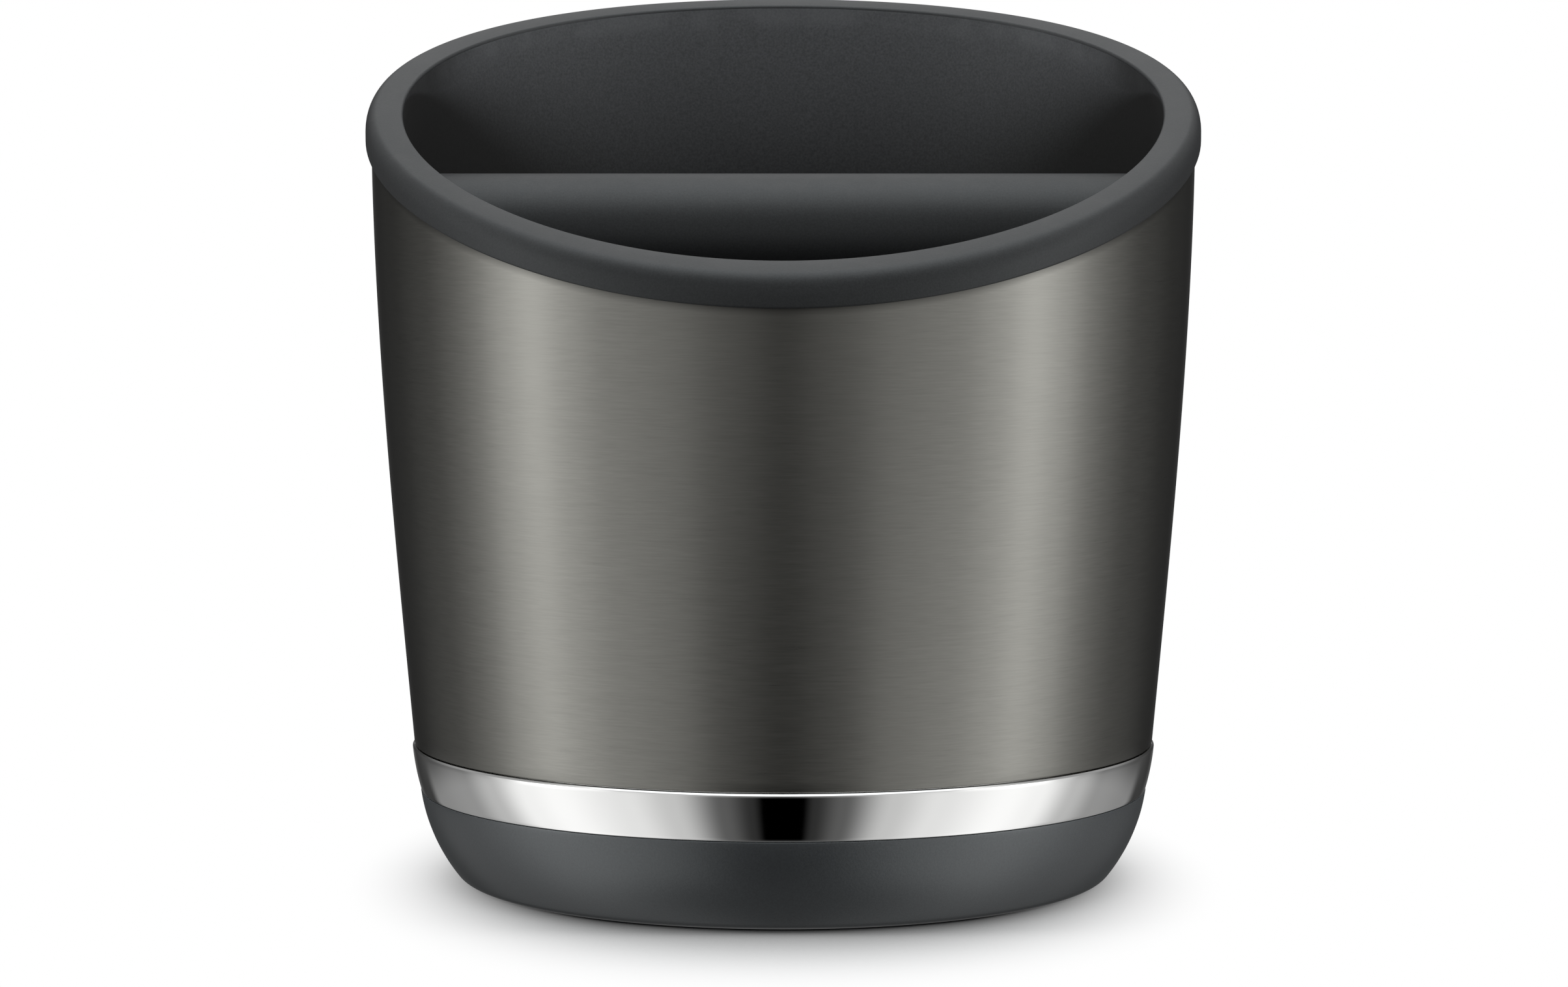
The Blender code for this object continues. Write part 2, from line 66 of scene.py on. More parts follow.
# What the packed frame fixes
COVER_LOW, COVER_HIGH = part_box("bar_cover")
SCREW_LOW, SCREW_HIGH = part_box("base_screw_1")
SCREW_NODES = sorted(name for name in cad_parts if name.startswith("base_screw"))
BEAD_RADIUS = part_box("soft_rim")[1].x
SHOULDER_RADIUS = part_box("outer_sleeve")[1].x
SLEEVE_FOOT_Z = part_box("outer_sleeve")[0].z
BAND_LOW_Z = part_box("trim_band")[0].z
BOOT_TOP_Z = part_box("base_boot")[1].z
BAR_CENTRE = (COVER_LOW + COVER_HIGH) / 2
BAR_RADIUS = (COVER_HIGH.z - COVER_LOW.z) / 2
BAR_HALF_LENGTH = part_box("bar_end_right")[1].x
CORE_HALF_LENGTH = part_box("bar_core")[1].x

# How finely the pieces are modelled
SLEEVE_STEPS = 44
WALL_STEPS = 30
ROUND_STEPS = 8
BAR_SEGMENTS = 96
SCREW_SEGMENTS = 40
PILOT_SEGMENTS = 24
TRIM_SEGMENTS = 96
FLOOR_SEGMENTS = 64
BEVEL_SEGMENTS = 4
SHARP_ANGLE = math.radians(38)
BUCKET_SHARP_ANGLE = math.radians(30)


def length(name, description, millimetres):
    """A size that the user can change, given here in millimetres."""
    return FloatProperty(
        name=name, description=description, default=millimetres * MM, precision=5, unit="LENGTH"
    )


def slant(name, description, degrees):
    return FloatProperty(
        name=name, description=description, default=math.radians(degrees), subtype="ANGLE"
    )


def colour(name, description, default):
    return FloatVectorProperty(
        name=name, description=description, default=default, size=3, min=0, max=1, subtype="COLOR"
    )


def share(name, description, default, highest=1.0):
    return FloatProperty(name=name, description=description, default=default, min=0, max=highest)


def power(name, description, watts):
    return FloatProperty(name=name, description=description, default=watts, unit="POWER")


class KnockBoxBody(bpy.types.PropertyGroup):
    """Sizes of the shell, the bucket and the foot."""

    seat_gap: length("Seat gap", "Gap between neighbouring pieces", 0.3)
    moulded_gap: length("Moulded gap", "Joint line between moulded pieces", 0.04)
    upstand_width: length("Upstand width", "Edge of the bucket inside the rim", 1.0)
    sleeve_gap: length("Sleeve gap", "Visible gap between sleeve and band", 0.13)
    crest_height: length("Crest height", "Height of the rim's crest at the sides", 121.6)
    crest_arch: length("Crest arch", "How far the slanted crest is arched", 3.67)
    mouth_tilt: slant("Mouth tilt", "How steeply the mouth climbs to the back", 18.8)
    sleeve_foot_radius: length("Sleeve foot radius", "Radius of the sleeve at the band", 58.05)
    sleeve_wall: length("Sleeve wall", "Thickness of the sleeve's sheet", 0.7)
    sleeve_edge: length("Sleeve edge", "Rounding of the sleeve's cut edges", 0.08)
    sleeve_hem: length("Sleeve hem", "Rounding of the sleeve's lower outer edge", 0.32)
    shoulder_drop: length("Shoulder drop", "How far below the crest it is upright", 1.0)
    flare_angle: slant("Flare angle", "How steeply the sleeve opens out above the band", 5.1)
    rim_cover: length("Rim cover", "Thickness of the rim over the flange", 1.9)
    rim_depth: length("Rim depth", "How far the rim's lip reaches down", 4.5)
    rim_shoulder_width: length("Rim shoulder width", "Width of its outer rounding", 1.75)
    rim_shoulder_drop: length("Rim shoulder drop", "Height of its outer rounding", 2.7)
    rim_crown: length("Rim crown", "How far its outer edge rises over its inner edge", 0.24)
    rim_inner_round: length("Rim inner round", "Rounding inside the rim", 0.45)
    rim_lip_round: length("Rim lip round", "Rounding under the rim's lip", 0.5)
    band_height: length("Band height", "Height of the bright band", 7.2)
    band_proud: length("Band overhang", "How far the band stands proud of the sleeve", 0.33)
    band_taper: length("Band taper", "How far the band draws in towards its foot", 1.34)
    band_straight_share: share("Band straightness", "Straight share of the band's taper", 0.45)
    band_edge: length("Band edge", "Height of the chamfer on the band's upper edge", 0.3)
    band_edge_width: length("Band edge width", "Width of that chamfer", 0.26)
    edge_ease: length("Edge ease", "Rounding beside that chamfer", 0.12)
    band_foot_edge: length("Band foot edge", "Rounding of the band's lower edge", 0.25)
    spigot_height: length("Spigot height", "Height of the spigot inside the sleeve", 2.0)
    boot_proud: length("Boot overhang", "How far the boot stands proud of the band", 0.1)
    boot_side_radius: length("Boot side radius", "Radius of the boot's curved side", 27.1)
    boot_top_lean: slant("Boot lean", "How far the boot's side leans in at its top", 8)
    boot_toe_radius: length("Boot toe radius", "Radius where the side turns under", 3.04)
    boot_wall: length("Boot wall", "Thickness of the boot's side", 3.0)
    boot_edge: length("Boot edge", "Rounding of the foot ring's inner edge", 0.4)
    boot_top_edge: length("Boot top edge", "Rounding of the boot's upper edge", 0.12)
    foot_width: length("Foot width", "Width of the flat ring that the box stands on", 7.3)
    bucket_wall: length("Bucket wall", "Thickness of the bucket's wall", 2.2)
    foot_air_gap: length("Air gap at the foot", "Air between sleeve and bucket", 2.03)
    mouth_air_gap: length("Air gap at the mouth", "Air between sleeve and bucket", 1.0)
    bucket_upright: length("Upright stretch", "Upright wall below the low side", 10.2)
    bucket_turn_ease: length("Turn ease", "How softly the bucket turns upright", 0.65)
    bucket_flange: length("Bucket flange", "Thickness of the bucket's flange", 2.2)
    bucket_floor: length("Bucket floor", "Thickness of the bucket's floor", 2.4)
    bucket_inner_corner: length("Inner corner", "Rounding round the bucket's floor", 8.0)
    bucket_outer_corner: length("Outer corner", "Rounding under the bucket", 1.2)
    pan_recess: length("Pan recess", "How far the pan lies above the foot", 1.5)
    pan_head_seat: length("Head seat", "Material under a screw's head", 1.2)
    pan_flange: length("Pan flange", "Thickness of the pan's flange", 1.2)
    pan_wall: length("Pan wall", "Thickness of the pan's wall", 2.4)
    pan_edge: length("Pan edge", "Rounding round the pan's underside", 0.8)


class KnockBoxParts(bpy.types.PropertyGroup):
    """Sizes of the knock bar, its cradles and the screws."""

    cap_length: length("Cap length", "Length of a bar end cap", 2.8)
    cap_skin: length("Cap skin", "Thickness of a cap's end", 1.5)
    cap_round: length("Cap round", "Rounding of a cap's end", 1.2)
    cover_edge: length("Cover edge", "Rounding of the padded cover's ends", 0.5)
    core_radius: length("Core radius", "Radius of the bar's steel core", 5.0)
    cradle_depth: length("Cradle depth", "How much of the bar a cradle holds", 5.0)
    cradle_side: length("Cradle side", "Material beside the bar", 3.5)
    cradle_rise: length("Cradle rise", "How far a cradle reaches above the bar's axis", 3.7)
    cradle_web: length("Cradle web", "Material under the bar", 4.0)
    cradle_ramp: length("Cradle ramp", "How far a cradle runs down the wall", 9.0)
    cradle_lead_in: length("Lead-in", "Flare at the mouth of a cradle", 1.5)
    cradle_round: length("Cradle round", "Rounding of a cradle's edges", 1.0)
    screw_inset: length("Screw inset", "Screw circle inside the foot ring", 6.0)
    head_radius: length("Head radius", "Radius of a screw's head", 2.8)
    head_height: length("Head height", "Height of a screw's head", 1.5)
    head_round: length("Head round", "Rounding of a screw's head", 0.5)
    shank_radius: length("Shank radius", "Radius of a screw's shank", 1.4)
    point_length: length("Point length", "Length of a screw's point", 1.2)
    recess_width: length("Recess width", "Width of a wing of the cross recess", 0.7)
    recess_reach: length("Recess reach", "Reach of a wing of the cross recess", 1.6)
    recess_depth: length("Recess depth", "Depth of the cross recess", 0.9)
    boss_radius: length("Boss radius", "Radius of a screw boss", 4.2)
    pilot_cover: length("Pilot cover", "Material above a pilot hole", 0.8)


class KnockBoxFinish(bpy.types.PropertyGroup):
    """Colours and finishes."""

    elastomer: colour("Elastomer", "Rim and padded bar", (0.0205, 0.0213, 0.0223))
    rubber: colour("Rubber", "Boot and end caps", (0.0430, 0.0475, 0.0518))
    moulding: colour("Moulding", "Bucket and base pan", (0.071, 0.0735, 0.0772))
    dark_steel: colour("Dark steel", "Brushed outer sleeve", (0.240, 0.237, 0.218))
    chrome: colour("Chrome", "Bright band", (0.90, 0.90, 0.89))
    bright_steel: colour("Bright steel", "Bar core and screws", (0.52, 0.52, 0.51))
    brushing: share("Brushing", "Contrast of the sleeve's brush lines", 0.36)
    rubbing: share("Rubbing", "How far the soft edges are rubbed pale", 0.35)
    # The rim's shadow painted on the sleeve: how far below the rim's lip it reaches, and how dark
    # it is there
    painted_shadow_reach: length("Grime reach", "How far the grime under the rim reaches down", 1.75)
    painted_shadow: share("Grime", "Strength of the grime under the rim", 0.72)
    # Painted shade inside the bucket: the depth over which it turns dark
    interior_shade_reach: length("Stain reach", "Depth where the coffee stain turns dark", 30.0)


class KnockBoxStage(bpy.types.PropertyGroup):
    """Floor, lamps and surroundings."""

    floor_radius: length("Floor radius", "Radius of the studio floor", 2500)
    overhead: power("Overhead lamp", "Power of the overhead softbox", 2.6)
    side_lamps: power("Side lamps", "Power of each side strip", 1.2)
    surroundings: share("Surroundings", "Strength of the studio's surroundings", 1.0, 4.0)
    segments: IntProperty(
        name="Segments", description="Facets round each turned piece", default=192, min=32
    )


SETTINGS = {
    "knock_box_body": KnockBoxBody,
    "knock_box_parts": KnockBoxParts,
    "knock_box_finish": KnockBoxFinish,
    "knock_box_stage": KnockBoxStage,
}


# Curves that the shell's pieces share


class BodyForm:
    """Radii and heights of the shell and the foot, worked out from the sizes."""

    edge_passes = 8

    def __init__(self, scene):
        self.sizes = sizes = scene.knock_box_body
        self.parts = parts = scene.knock_box_parts
        self.shoulder_z = sizes.crest_height - sizes.shoulder_drop
        self.band_top_z = BAND_LOW_Z + sizes.band_height
        self.turn_z = self.crest(-BEAD_RADIUS) - sizes.bucket_upright
        narrowest = min(self.sleeve_inner(self.turn_z), self.sleeve_inner(self.shoulder_z))
        self.upright_radius = narrowest - sizes.mouth_air_gap
        self.mouth_radius = self.upright_radius - sizes.bucket_wall
        self.floor_z = BAND_LOW_Z + sizes.bucket_floor
        self.head_seat_z = sizes.pan_recess + parts.head_height
        self.pan_top_z = self.head_seat_z + sizes.seat_gap + sizes.pan_head_seat
        self.shelf_z = self.pan_top_z - sizes.pan_flange

    def crest(self, y):
        """Height of the rim's crest over the point y of the plan."""
        across = y / BEAD_RADIUS
        rise = math.tan(self.sizes.mouth_tilt) * y
        return self.sizes.crest_height + rise - self.sizes.crest_arch * across * across

    def sleeve_outer(self, z):
        """Radius of the sleeve: flared at the foot, upright from the shoulder up."""
        if z >= self.shoulder_z:
            return SHOULDER_RADIUS
        span = self.shoulder_z - self.band_top_z
        t = (z - self.band_top_z) / span
        from_foot = self.sizes.sleeve_foot_radius * (1 + 2 * t) * (1 - t) ** 2
        from_flare = math.tan(self.sizes.flare_angle) * span * t * (1 - t) ** 2
        from_shoulder = SHOULDER_RADIUS * t * t * (3 - 2 * t)
        return from_foot + from_flare + from_shoulder

    def sleeve_inner(self, z):
        return self.sleeve_outer(z) - self.sizes.sleeve_wall

    def bucket_outer(self, z):
        """Radius outside the bucket, which follows the sleeve and then turns upright."""
        sizes = self.sizes
        climbed = (z - self.band_top_z) / (self.turn_z - self.band_top_z)
        gap = sizes.foot_air_gap + (sizes.mouth_air_gap - sizes.foot_air_gap) * climbed
        following = self.sleeve_inner(z) - gap
        ease = max(sizes.bucket_turn_ease - abs(following - self.upright_radius), 0)
        return min(following, self.upright_radius) - ease**2 / (4 * sizes.bucket_turn_ease)

    def bucket_inner(self, z):
        return self.bucket_outer(z) - self.sizes.bucket_wall

    def slanted_edge(self, radius_at, depth, angle):
        """Height at which a wall meets the slant that runs depth below the crest."""
        z = self.sizes.crest_height
        for _ in range(self.edge_passes):
            z = self.crest(radius_at(z) * math.sin(angle)) - depth
        return z

    def boot_side_centre(self):
        """Centre (r, z) of the arc of the boot's side."""
        sizes = self.sizes
        band_foot = sizes.sleeve_foot_radius + sizes.band_proud - sizes.band_taper
        centre_r = band_foot + sizes.boot_proud
        centre_r -= sizes.boot_side_radius * math.cos(sizes.boot_top_lean)
        centre_z = BAND_LOW_Z + sizes.boot_side_radius * math.sin(sizes.boot_top_lean)
        return centre_r, centre_z

    def boot_side(self, inset, low_z, high_z, steps):
        """The boot's side curve moved in by inset, from low_z up to high_z."""
        centre_r, centre_z = self.boot_side_centre()
        radius = self.sizes.boot_side_radius - inset
        lowest = -math.asin((centre_z - low_z) / radius)
        highest = -math.asin((centre_z - high_z) / radius)
        return arc(centre_r, centre_z, radius, lowest, highest, steps)

    def boot_toe(self, steps):
        """The tight turn from the flat foot into the side."""
        centre_r, centre_z = self.boot_side_centre()
        toe = self.sizes.boot_toe_radius
        reach = self.sizes.boot_side_radius - toe
        turn = math.asin((centre_z - toe) / reach)
        toe_r = centre_r + reach * math.cos(turn)
        return arc(toe_r, toe, toe, -math.pi / 2, -turn, steps)

    def foot_inner_radius(self):
        return self.boot_toe(1)[0][0] - self.sizes.foot_width

    def screw_places(self):
        """Places of the base screws in plan, halfway between the axes."""
        circle = self.foot_inner_radius() - self.parts.screw_inset
        count = len(SCREW_NODES)
        for i in range(count):
            angle = math.tau * (i + 0.5) / count
            yield Vector((circle * math.cos(angle), circle * math.sin(angle), 0))


# Mesh tools


def evenly(first, last, steps):
    """Values from first to last in equal steps."""
    return [first + (last - first) * i / steps for i in range(steps + 1)]


def arc(centre_r, centre_z, radius, start, end, steps):
    """Points (r, z) of an arc, with its angles measured from +r towards +z."""
    angles = evenly(start, end, steps)
    return [(centre_r + radius * math.cos(a), centre_z + radius * math.sin(a)) for a in angles]


def wall(radius_at, first_z, last_z, steps):
    """Points (r, z) along a wall whose radius depends on its height."""
    return [(radius_at(z), z) for z in evenly(first_z, last_z, steps)]


def rounded(before, corner, after, radius, steps):
    """Points (r, z) that round the corner between its two neighbours."""
    corner_at = Vector(corner)
    to_before = (Vector(before) - corner_at).normalized()
    to_after = (Vector(after) - corner_at).normalized()
    reach = radius / math.tan(to_before.angle(to_after) / 2)
    start = corner_at + to_before * reach
    end = corner_at + to_after * reach
    points = []
    for t in evenly(0, 1, steps):
        bend = start * (1 - t) ** 2 + corner_at * (2 * t * (1 - t)) + end * t**2
        points.append((bend.x, bend.y))
    return points


def soften(outline, radii, steps=4):
    """Rounds the corners of a closed (r, z) outline whose index has a radius in radii."""
    points = []
    for i, corner in enumerate(outline):
        if i in radii:
            after = outline[(i + 1) % len(outline)]
            points += rounded(outline[i - 1], corner, after, radii[i], steps)
        else:
            points.append(corner)
    return points


def shade_smoothly(mesh, sharp_angle):
    mesh.shade_smooth()
    mesh.set_sharp_from_angle(angle=sharp_angle)


def link_mesh(name, bm):
    """Turns a bmesh into an outward-facing, smooth-shaded object in the scene."""
    bmesh.ops.recalc_face_normals(bm, faces=bm.faces)
    mesh = bpy.data.meshes.new(name)
    bm.to_mesh(mesh)
    bm.free()
    shade_smoothly(mesh, SHARP_ANGLE)
    obj = bpy.data.objects.new(name, mesh)
    bpy.context.scene.collection.objects.link(obj)
    return obj


def lofted(name, section_at, segments=None):
    """Lofts the (r, z) section that section_at gives for each bearing round Z.

    A section is a closed ring, or starts and ends on the axis.
    """
    segments = segments or bpy.context.scene.knock_box_stage.segments
    bm = bmesh.new()
    sections = []
    poles = []
    for i in range(segments):
        angle = math.tau * i / segments
        along = Vector((math.cos(angle), math.sin(angle), 0))
        points = section_at(angle)
        capped = points[0][0] == 0
        if capped:
            poles = poles or [bm.verts.new((0, 0, points[end][1])) for end in (0, -1)]
            points = points[1:-1]
        sections.append([bm.verts.new(along * r + Vector((0, 0, z))) for r, z in points])
    for near, far in zip(sections, sections[1:] + sections[:1]):
        pairs = list(zip(near, far))
        following = pairs[1:] if capped else pairs[1:] + pairs[:1]
        for (a, b), (d, c) in zip(pairs, following):
            bm.faces.new((a, b, c, d))
        if capped:
            bm.faces.new((poles[0], near[0], far[0]))
            bm.faces.new((poles[1], near[-1], far[-1]))
    return link_mesh(name, bm)


def turned(name, profile, segments=None):
    """Turns one (r, z) profile about Z."""
    return lofted(name, lambda angle: profile, segments)


def block(name, outline, direction):
    """Extrudes a closed flat outline of 3-D points along a vector."""
    bm = bmesh.new()
    face = bm.faces.new([bm.verts.new(point) for point in outline])
    grown = bmesh.ops.extrude_face_region(bm, geom=[face])
    moved = [item for item in grown["geom"] if isinstance(item, bmesh.types.BMVert)]
    bmesh.ops.translate(bm, verts=moved, vec=direction)
    return link_mesh(name, bm)


def placed(obj, matrix):
    """Moves an object's mesh itself, so the object stays at the origin as the nodes do."""
    obj.data.transform(matrix)
    return obj


def apply_modifiers(obj):
    graph = bpy.context.evaluated_depsgraph_get()
    mesh = bpy.data.meshes.new_from_object(obj.evaluated_get(graph))
    old = obj.data
    name = old.name
    obj.modifiers.clear()
    obj.data = mesh
    bpy.data.meshes.remove(old)
    mesh.name = name


def combine(target, tool, operation):
    """Joins or cuts target with tool, and deletes the tool."""
    modifier = target.modifiers.new("combine", "BOOLEAN")
    modifier.operation = operation
    modifier.solver = "EXACT"
    modifier.object = tool
    apply_modifiers(target)
    bpy.data.objects.remove(tool, do_unlink=True)


def bevelled(obj, width):
    modifier = obj.modifiers.new("edges", "BEVEL")
    modifier.width = width
    modifier.segments = BEVEL_SEGMENTS
    apply_modifiers(obj)


def finish_piece(obj, body, slot, *nodes):
    """Hands a finished piece to the frame: its material, its body and what it stands for."""
    obj.data.materials.clear()
    obj.data.materials.append(material_for(slot))
    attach(obj, body)
    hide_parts(*nodes)


# Shader tools


class ShaderTree:
    """A shader tree, with short ways to add its nodes and to get what they put out."""

    def __init__(self, tree):
        self.nodes = tree.nodes
        self.links = tree.links

    def feed(self, socket, value):
        """Links another node's output to a socket, or sets its constant value."""
        if isinstance(value, bpy.types.NodeSocket):
            self.links.new(value, socket)
        elif socket.type == "RGBA":
            socket.default_value = (*value, 1.0)
        else:
            socket.default_value = value

    def add(self, kind, inputs=None, **settings):
        """Adds a node with its settings, and feeds its inputs."""
        node = self.nodes.new(f"ShaderNode{kind}")
        for key, value in settings.items():
            setattr(node, key, value)
        for key, value in (inputs or {}).items():
            self.feed(node.inputs[key], value)
        return node

    def shade(self, **values):
        """Feeds the material's own Principled shader."""
        for key, value in values.items():
            self.feed(self.nodes["Principled BSDF"].inputs[key.replace("_", " ")], value)

    def output(self, kind, name):
        return self.add(kind).outputs[name]

    def place(self):
        return self.output("TexCoord", "Object")

    def axes(self, vector):
        return self.add("SeparateXYZ", {0: vector}).outputs

    def math(self, operation, first, second=0.0, clamp=False):
        inputs = {0: first, 1: second}
        return self.add("Math", inputs, operation=operation, use_clamp=clamp).outputs[0]

    def times(self, first, second, clamp=False):
        return self.math("MULTIPLY", first, second, clamp)

    def plus(self, first, second, clamp=False):
        return self.math("ADD", first, second, clamp)

    def stretched(self, vector, scale):
        inputs = {0: vector, 1: scale}
        return self.add("VectorMath", inputs, operation="MULTIPLY").outputs[0]

    def remap(self, value, low, high, to_low=0.0, to_high=1.0, smooth=False):
        """Maps low to high on to to_low to to_high, and holds the value at these ends."""
        inputs = dict(enumerate((value, low, high, to_low, to_high)))
        kind = "SMOOTHSTEP" if smooth else "LINEAR"
        return self.add("MapRange", inputs, interpolation_type=kind).outputs[0]

    def spread(self, mask, low, high):
        """Spreads a mask of 0 to 1 over low to high."""
        return self.remap(mask, 0.0, 1.0, low, high)

    def mix(self, amount, first, second, blend="MIX"):
        inputs = {0: amount, 6: first, 7: second}
        return self.add("Mix", inputs, data_type="RGBA", blend_type=blend).outputs[2]

    def mix_shaders(self, amount, first, second):
        return self.add("MixShader", {0: amount, 1: first, 2: second}).outputs[0]

    def noise(self, scale, detail, roughness=0.5, place=None):
        """Cloudy noise over the object, with so many cells per metre."""
        inputs = {
            "Vector": place or self.place(),
            "Scale": scale,
            "Detail": detail,
            "Roughness": roughness,
        }
        return self.add("TexNoise", inputs).outputs["Fac"]

    def bump(self, height, distance, strength):
        inputs = {"Height": height, "Distance": distance, "Strength": strength}
        self.shade(Normal=self.add("Bump", inputs).outputs[0])

    def effect(self, name, **values):
        """Places one of the shared effects, with this material's own values."""
        group = bpy.data.node_groups.get(name) or effect_group(name)
        inputs = {key.replace("_", " ").capitalize(): value for key, value in values.items()}
        return self.add("Group", inputs, node_tree=group).outputs


def grey(level):
    return (level, level, level)


def paler(base, factor):
    return tuple(min(channel * factor, 1.0) for channel in base)


# Effects that the finishes share

NOISE_SPAN = (0.3, 0.7)
COARSE_GRAIN_SHARE = 0.31
MEDIUM_STREAKS = 0.6
STREAK_SPAN = (0.45, 1.15)
EDGE_POINTINESS = (0.505, 0.56)
DUST_SLOPES = (0.2, 0.95)
RUBBED_PATCHES = (0.35, 0.65, 0.25)
DUST_PATCHES = (0.45, 0.75, 0.1)
# Painted shade inside the bucket: the least depth scale, where the darkening sets in, and how the
# side walls darken as they face sideways
LEAST_LIT_DEPTH = 0.5 * MM
INTERIOR_SHADE_ONSET = (0.1, 1.9)
FLANK_FACING = (0.28, 0.62)
FLANK_SHADE = 0.8


def moulded_grain(tree, grains, coarseness):
    """Fine spark-eroded grain of moulded plastic and rubber."""
    fine = tree.noise(grains, detail=2.0, roughness=0.6)
    coarse = tree.noise(tree.times(grains, COARSE_GRAIN_SHARE), detail=1.0)
    return tree.plus(fine, tree.times(coarse, coarseness)), tree.remap(fine, *NOISE_SPAN)


def tone_drift(tree, clouds):
    """Slow cloudy change of tone over a surface."""
    return [tree.remap(tree.noise(clouds, detail=3.0, roughness=0.55), *NOISE_SPAN)]


def brushed_streaks(tree, streaks_along, lines):
    """Brush lines that run round Z: slow along X and Y, and fine along Z."""
    place = tree.place()

    def layer(along_share, fine_share, detail):
        along = tree.times(streaks_along, along_share)
        across = tree.times(lines, fine_share)
        stretch = tree.add("CombineXYZ", {0: along, 1: along, 2: across}).outputs[0]
        return tree.noise(1.0, detail, roughness=0.65, place=tree.stretched(place, stretch))

    fine = layer(1.0, 1.0, 2.0)
    medium = layer(0.6, 0.5, 2.0)
    bands = layer(0.25, 0.05, 1.0)
    both = tree.plus(fine, tree.times(medium, MEDIUM_STREAKS))
    return tree.remap(both, *STREAK_SPAN), fine, tree.remap(bands, *NOISE_SPAN)


def masked(tree, mask, noise, patches, amount):
    """A mask broken up by a noise, from patches' low and high noise and its least share."""
    share_left = tree.remap(noise, *patches, 1.0, smooth=True)
    return [tree.times(tree.times(mask, share_left), amount, clamp=True)]


def rubbed_edges(tree, amount, patches):
    """Mask of the outer edges that hands and cloths rub."""
    edge = tree.remap(tree.output("NewGeometry", "Pointiness"), *EDGE_POINTINESS, smooth=True)
    return masked(tree, edge, tree.noise(patches, detail=3.0), RUBBED_PATCHES, amount)


def settled_dust(tree, amount, specks):
    """Mask of the dust and dried coffee film that settles on upward faces."""
    upward = tree.axes(tree.output("NewGeometry", "Normal"))[2]
    facing = tree.remap(upward, *DUST_SLOPES, smooth=True)
    return masked(tree, facing, tree.noise(specks, detail=4.0), DUST_PATCHES, amount)


def painted_interior_shade(tree, crest_height, mouth_slope, reach, floor_height):
    """Mask of painted shade inside the bucket: darker deeper down and more towards its sides."""
    x, y, z = tree.axes(tree.place())
    square = tree.plus(tree.times(x, x), tree.times(y, y))
    facing = tree.math("DIVIDE", tree.math("ABSOLUTE", y), tree.math("SQRT", square))
    crest = tree.plus(crest_height, tree.times(y, mouth_slope))
    depth = tree.math("SUBTRACT", crest, z)
    lit_depth = tree.times(tree.math("POWER", facing, 2.0), reach)
    sunk = tree.math("DIVIDE", depth, tree.plus(lit_depth, LEAST_LIT_DEPTH))
    deep = tree.remap(sunk, *INTERIOR_SHADE_ONSET, smooth=True)
    flank = tree.remap(facing, *FLANK_FACING, FLANK_SHADE, 0.0, smooth=True)
    inside = tree.math("GREATER_THAN", z, floor_height)
    return [tree.times(tree.math("MAXIMUM", deep, flank), inside)]


# Each effect's maker, its inputs with their defaults, and its outputs
EFFECTS = {
    "Moulded grain": (
        moulded_grain, {"Grains per metre": 2600.0, "Coarseness": 0.35}, ("Height", "Speckle")
    ),
    "Tone drift": (tone_drift, {"Clouds per metre": 28.0}, ("Drift",)),
    "Brushed streaks": (
        brushed_streaks,
        {"Streaks along": 230.0, "Lines per metre": 5000.0},
        ("Streaks", "Height", "Bands"),
    ),
    "Rubbed edges": (rubbed_edges, {"Amount": 0.4, "Patches per metre": 160.0}, ("Mask",)),
    "Settled dust": (settled_dust, {"Amount": 0.2, "Specks per metre": 420.0}, ("Mask",)),
    # Painted shade inside the bucket, by depth and by how sideways the wall faces
    "Coffee stain": (
        painted_interior_shade,
        {"Crest height": 0.12, "Mouth slope": 0.34, "Reach": 0.03, "Floor height": 0.015},
        ("Mask",),
    ),
}


def effect_group(name):
    """Builds one of the effects as a node group with float inputs and outputs."""
    maker, defaults, outputs = EFFECTS[name]
    group = bpy.data.node_groups.new(name, "ShaderNodeTree")
    for label, default in defaults.items():
        socket = group.interface.new_socket(label, in_out="INPUT", socket_type="NodeSocketFloat")
        socket.default_value = default
    for label in outputs:
        group.interface.new_socket(label, in_out="OUTPUT", socket_type="NodeSocketFloat")
    given = group.nodes.new("NodeGroupInput").outputs
    result = group.nodes.new("NodeGroupOutput").inputs
    made = maker(ShaderTree(group), *(given[label] for label in defaults))
    for label, value in zip(outputs, made):
        group.links.new(value, result[label])
    return group


# Finishes

COFFEE_FILM = (0.16, 0.15, 0.14)
# Factor by which the painted shade inside the bucket darkens the moulding at most
INTERIOR_SHADE_TONE = (0.15, 0.14, 0.13)
SOFT_GLOSS_TINT = (0.94, 0.99, 1.0)
STEEL_EDGE_TINT = 0.78
DRIFT_TONES = (0.97, 1.03)
SPECKLE_TONES = (0.78, 1.22)
RUBBED_TONE = 1.9
RUBBED_GLOSS = -0.12
DUST_DULLNESS = 0.3
# Share of the steel's colour that is left where the rim's painted shadow is darkest
PAINTED_SHADOW_TONE = 0.08
GRAIN_DEPTH = 0.02 * MM
BRUSH_DEPTH = 0.004 * MM
SMEAR_DEPTH = 0.002 * MM


